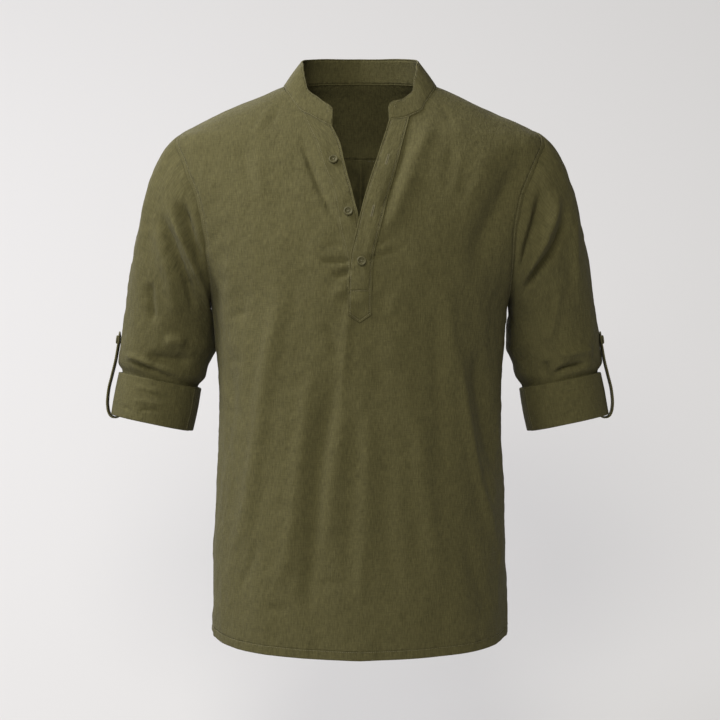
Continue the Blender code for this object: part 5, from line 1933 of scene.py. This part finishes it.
class ShirtStage(bpy.types.PropertyGroup):
    """Settings of the studio."""

    paper: FloatVectorProperty(
        name="Paper", description="Colour of the backdrop and floor", subtype="COLOR", size=3,
        default=(0.272, 0.267, 0.264), min=0.0, max=1.0,
    )
    side_power: FloatProperty(
        name="Side light", description="Power of the soft light above the left", unit="POWER",
        default=92.0, min=0.0,
    )
    front_power: FloatProperty(
        name="Front light", description="Power of the soft light above the camera", unit="POWER",
        default=63.0, min=0.0,
    )
    low_power: FloatProperty(
        name="Low light", description="Power of the low light that casts the shadow", unit="POWER",
        default=16.0, min=0.0,
    )
    back_power: FloatProperty(
        name="Back light", description="Power of the soft light behind the shirt", unit="POWER",
        default=150.0, min=0.0,
    )
    ambient: FloatProperty(
        name="Ambient", description="Strength of the even light from all round", default=0.12, min=0.0,
    )


class SHIRT_OT_body(bpy.types.Operator):
    """Build the front, the back and the yoke"""

    bl_idname = "shirt.body"
    bl_label = "Body"
    bl_options = {"REGISTER", "UNDO"}

    def execute(self, context):
        cloth = context.scene.shirt_cloth
        halves = front_half(1), front_half(-1)
        made = add_panel("front_cloth", halves, 0, panel_stitch_rows, cloth)
        sewn("front")
        halves = back_half(), back_half()
        made = add_panel("back_cloth", halves, 180, panel_stitch_rows, cloth)
        sewn("back")
        halves = yoke_half(1), yoke_half(-1)
        made = add_panel("yoke_cloth", halves, 180, yoke_stitch_rows, cloth)
        sewn("yoke")
        return {"FINISHED"}


class SHIRT_OT_plackets(bpy.types.Operator):
    """Build the two placket strips of the front opening"""

    bl_idname = "shirt.plackets"
    bl_label = "Plackets"
    bl_options = {"REGISTER", "UNDO"}

    def execute(self, context):
        for name, side, cut in (("over", 1, OVER_CUT), ("under", -1, UNDER_CUT)):
            made = add_strip(f"placket_{name}_cloth", side, context.scene.shirt_cloth)
            sewn(f"placket_{name}")
        return {"FINISHED"}


class SHIRT_OT_collar(bpy.types.Operator):
    """Build the band collar"""

    bl_idname = "shirt.collar"
    bl_label = "Collar"
    bl_options = {"REGISTER", "UNDO"}

    def execute(self, context):
        made = add_collar(context.scene.shirt_cloth)
        sewn("collar_band")
        return {"FINISHED"}


class SHIRT_OT_sleeves(bpy.types.Operator):
    """Build both sleeves"""

    bl_idname = "shirt.sleeves"
    bl_label = "Sleeves"
    bl_options = {"REGISTER", "UNDO"}

    def execute(self, context):
        for name, side in ARMS:
            made = add_sleeve(f"sleeve_{name}_cloth", side, context.scene.shirt_cloth)
            sewn(f"sleeve_{name}")
        return {"FINISHED"}


class SHIRT_OT_cuffs(bpy.types.Operator):
    """Build both turned-up cuffs"""

    bl_idname = "shirt.cuffs"
    bl_label = "Cuffs"
    bl_options = {"REGISTER", "UNDO"}

    def execute(self, context):
        for name, side in ARMS:
            made = add_cuff(f"cuff_{name}_cloth", side, context.scene.shirt_cloth)
            sewn(f"cuff_{name}")
        return {"FINISHED"}


class SHIRT_OT_tabs(bpy.types.Operator):
    """Build the straps that hold the rolled sleeves"""

    bl_idname = "shirt.tabs"
    bl_label = "Sleeve straps"
    bl_options = {"REGISTER", "UNDO"}

    def execute(self, context):
        for name, side in ARMS:
            made = add_tab(f"tab_{name}_cloth", side, context.scene.shirt_cloth)
            sewn(f"tab_{name}")
        return {"FINISHED"}


class SHIRT_OT_buttons(bpy.types.Operator):
    """Build the five buttons with their threads"""

    bl_idname = "shirt.buttons"
    bl_label = "Buttons"
    bl_options = {"REGISTER", "UNDO"}

    def execute(self, context):
        cloth, trim = context.scene.shirt_cloth, context.scene.shirt_trim
        for number, (x, height, lift) in enumerate(PLACKET_BUTTONS, start=1):
            angle = math.copysign(1, x) * float(angle_at(abs(x), height))
            point, normal = on_body(angle, height, lift + BUTTON_CLEAR, cloth)
            add_button(f"turned_button_{number}", f"button_placket_{number}", point, normal, trim)
        for name, side in ARMS:
            lift = TAB_WALL / 2 + BUTTON_CLEAR
            point, normal = on_tab(np.array(TAB_BUTTON_AT), np.array(0.0), side, lift)
            add_button(f"turned_tab_button_{name}", f"button_tab_{name}", point, normal, trim)
        return {"FINISHED"}


class SHIRT_OT_stitching(bpy.types.Operator):
    """Sew the rows of stitches and the buttonholes"""

    bl_idname = "shirt.stitching"
    bl_label = "Stitching"
    bl_options = {"REGISTER", "UNDO"}

    def execute(self, context):
        cloth, trim = context.scene.shirt_cloth, context.scene.shirt_trim
        finish, dark = thread(trim), shade()
        add_stitches("body_stitches", body_runs(cloth), trim, finish)
        add_stitches("placket_stitches", placket_runs(cloth), trim, finish)
        add_stitches("collar_stitches", collar_runs(cloth), trim, finish)
        add_stitches("cuff_stitches", cuff_runs(cloth), trim, finish)
        add_stitches("tab_stitches", tab_runs(), trim, finish)
        for number, height in enumerate(BUTTONHOLE_HEIGHTS, start=1):
            made = add_mesh(f"buttonhole_{number}", *buttonhole_threads(height, cloth), finish)
            # Each slit is a dark lens of painted shade over the inside of the buttonhole
            made = add_mesh(f"buttonhole_slit_shade_{number}", *buttonhole_slit_shade(height, cloth), dark)
        return {"FINISHED"}


class SHIRT_OT_stage(bpy.types.Operator):
    """Set up the backdrop, the floor, the lights and the camera"""

    bl_idname = "shirt.stage"
    bl_label = "Studio"
    bl_options = {"REGISTER", "UNDO"}

    def execute(self, context):
        stage = context.scene.shirt_stage
        add_backdrop(stage)
        powers = stage.side_power, stage.front_power, stage.low_power, stage.back_power
        for light, power in zip(LIGHTS, powers):
            add_light(*light, power)
        add_air(stage)
        add_camera()
        context.scene.view_settings.view_transform = "Standard"
        return {"FINISHED"}


class SHIRT_PT_build(bpy.types.Panel):
    """Lists the steps that build the shirt, with their settings"""

    bl_idname = "SHIRT_PT_build"
    bl_label = "Shirt"
    bl_space_type = "VIEW_3D"
    bl_region_type = "UI"
    bl_category = "Shirt"

    def draw(self, context):
        scene = context.scene
        for group in (scene.shirt_cloth, scene.shirt_trim, scene.shirt_stage):
            box = self.layout.box()
            for name in group.__annotations__:
                box.prop(group, name)
        for step in STEPS:
            self.layout.operator(step.bl_idname)


STEPS = (
    SHIRT_OT_body,
    SHIRT_OT_plackets,
    SHIRT_OT_collar,
    SHIRT_OT_sleeves,
    SHIRT_OT_cuffs,
    SHIRT_OT_tabs,
    SHIRT_OT_buttons,
    SHIRT_OT_stitching,
    SHIRT_OT_stage,
)
CLASSES = (ShirtCloth, ShirtTrim, ShirtStage, *STEPS, SHIRT_PT_build)


def register():
    """Adds the classes, and the three groups of settings to the scene."""
    for made in CLASSES:
        bpy.utils.register_class(made)
    bpy.types.Scene.shirt_cloth = PointerProperty(type=ShirtCloth)
    bpy.types.Scene.shirt_trim = PointerProperty(type=ShirtTrim)
    bpy.types.Scene.shirt_stage = PointerProperty(type=ShirtStage)


def unregister():
    """Takes back all that register added."""
    del bpy.types.Scene.shirt_cloth
    del bpy.types.Scene.shirt_trim
    del bpy.types.Scene.shirt_stage
    for made in reversed(CLASSES):
        bpy.utils.unregister_class(made)


def main():
    """Builds the whole shirt and its studio."""
    register()
    bpy.ops.shirt.body()
    bpy.ops.shirt.plackets()
    bpy.ops.shirt.collar()
    bpy.ops.shirt.sleeves()
    bpy.ops.shirt.cuffs()
    bpy.ops.shirt.tabs()
    bpy.ops.shirt.buttons()
    bpy.ops.shirt.stitching()
    bpy.ops.shirt.stage()


if __name__ == "__main__":
    main()
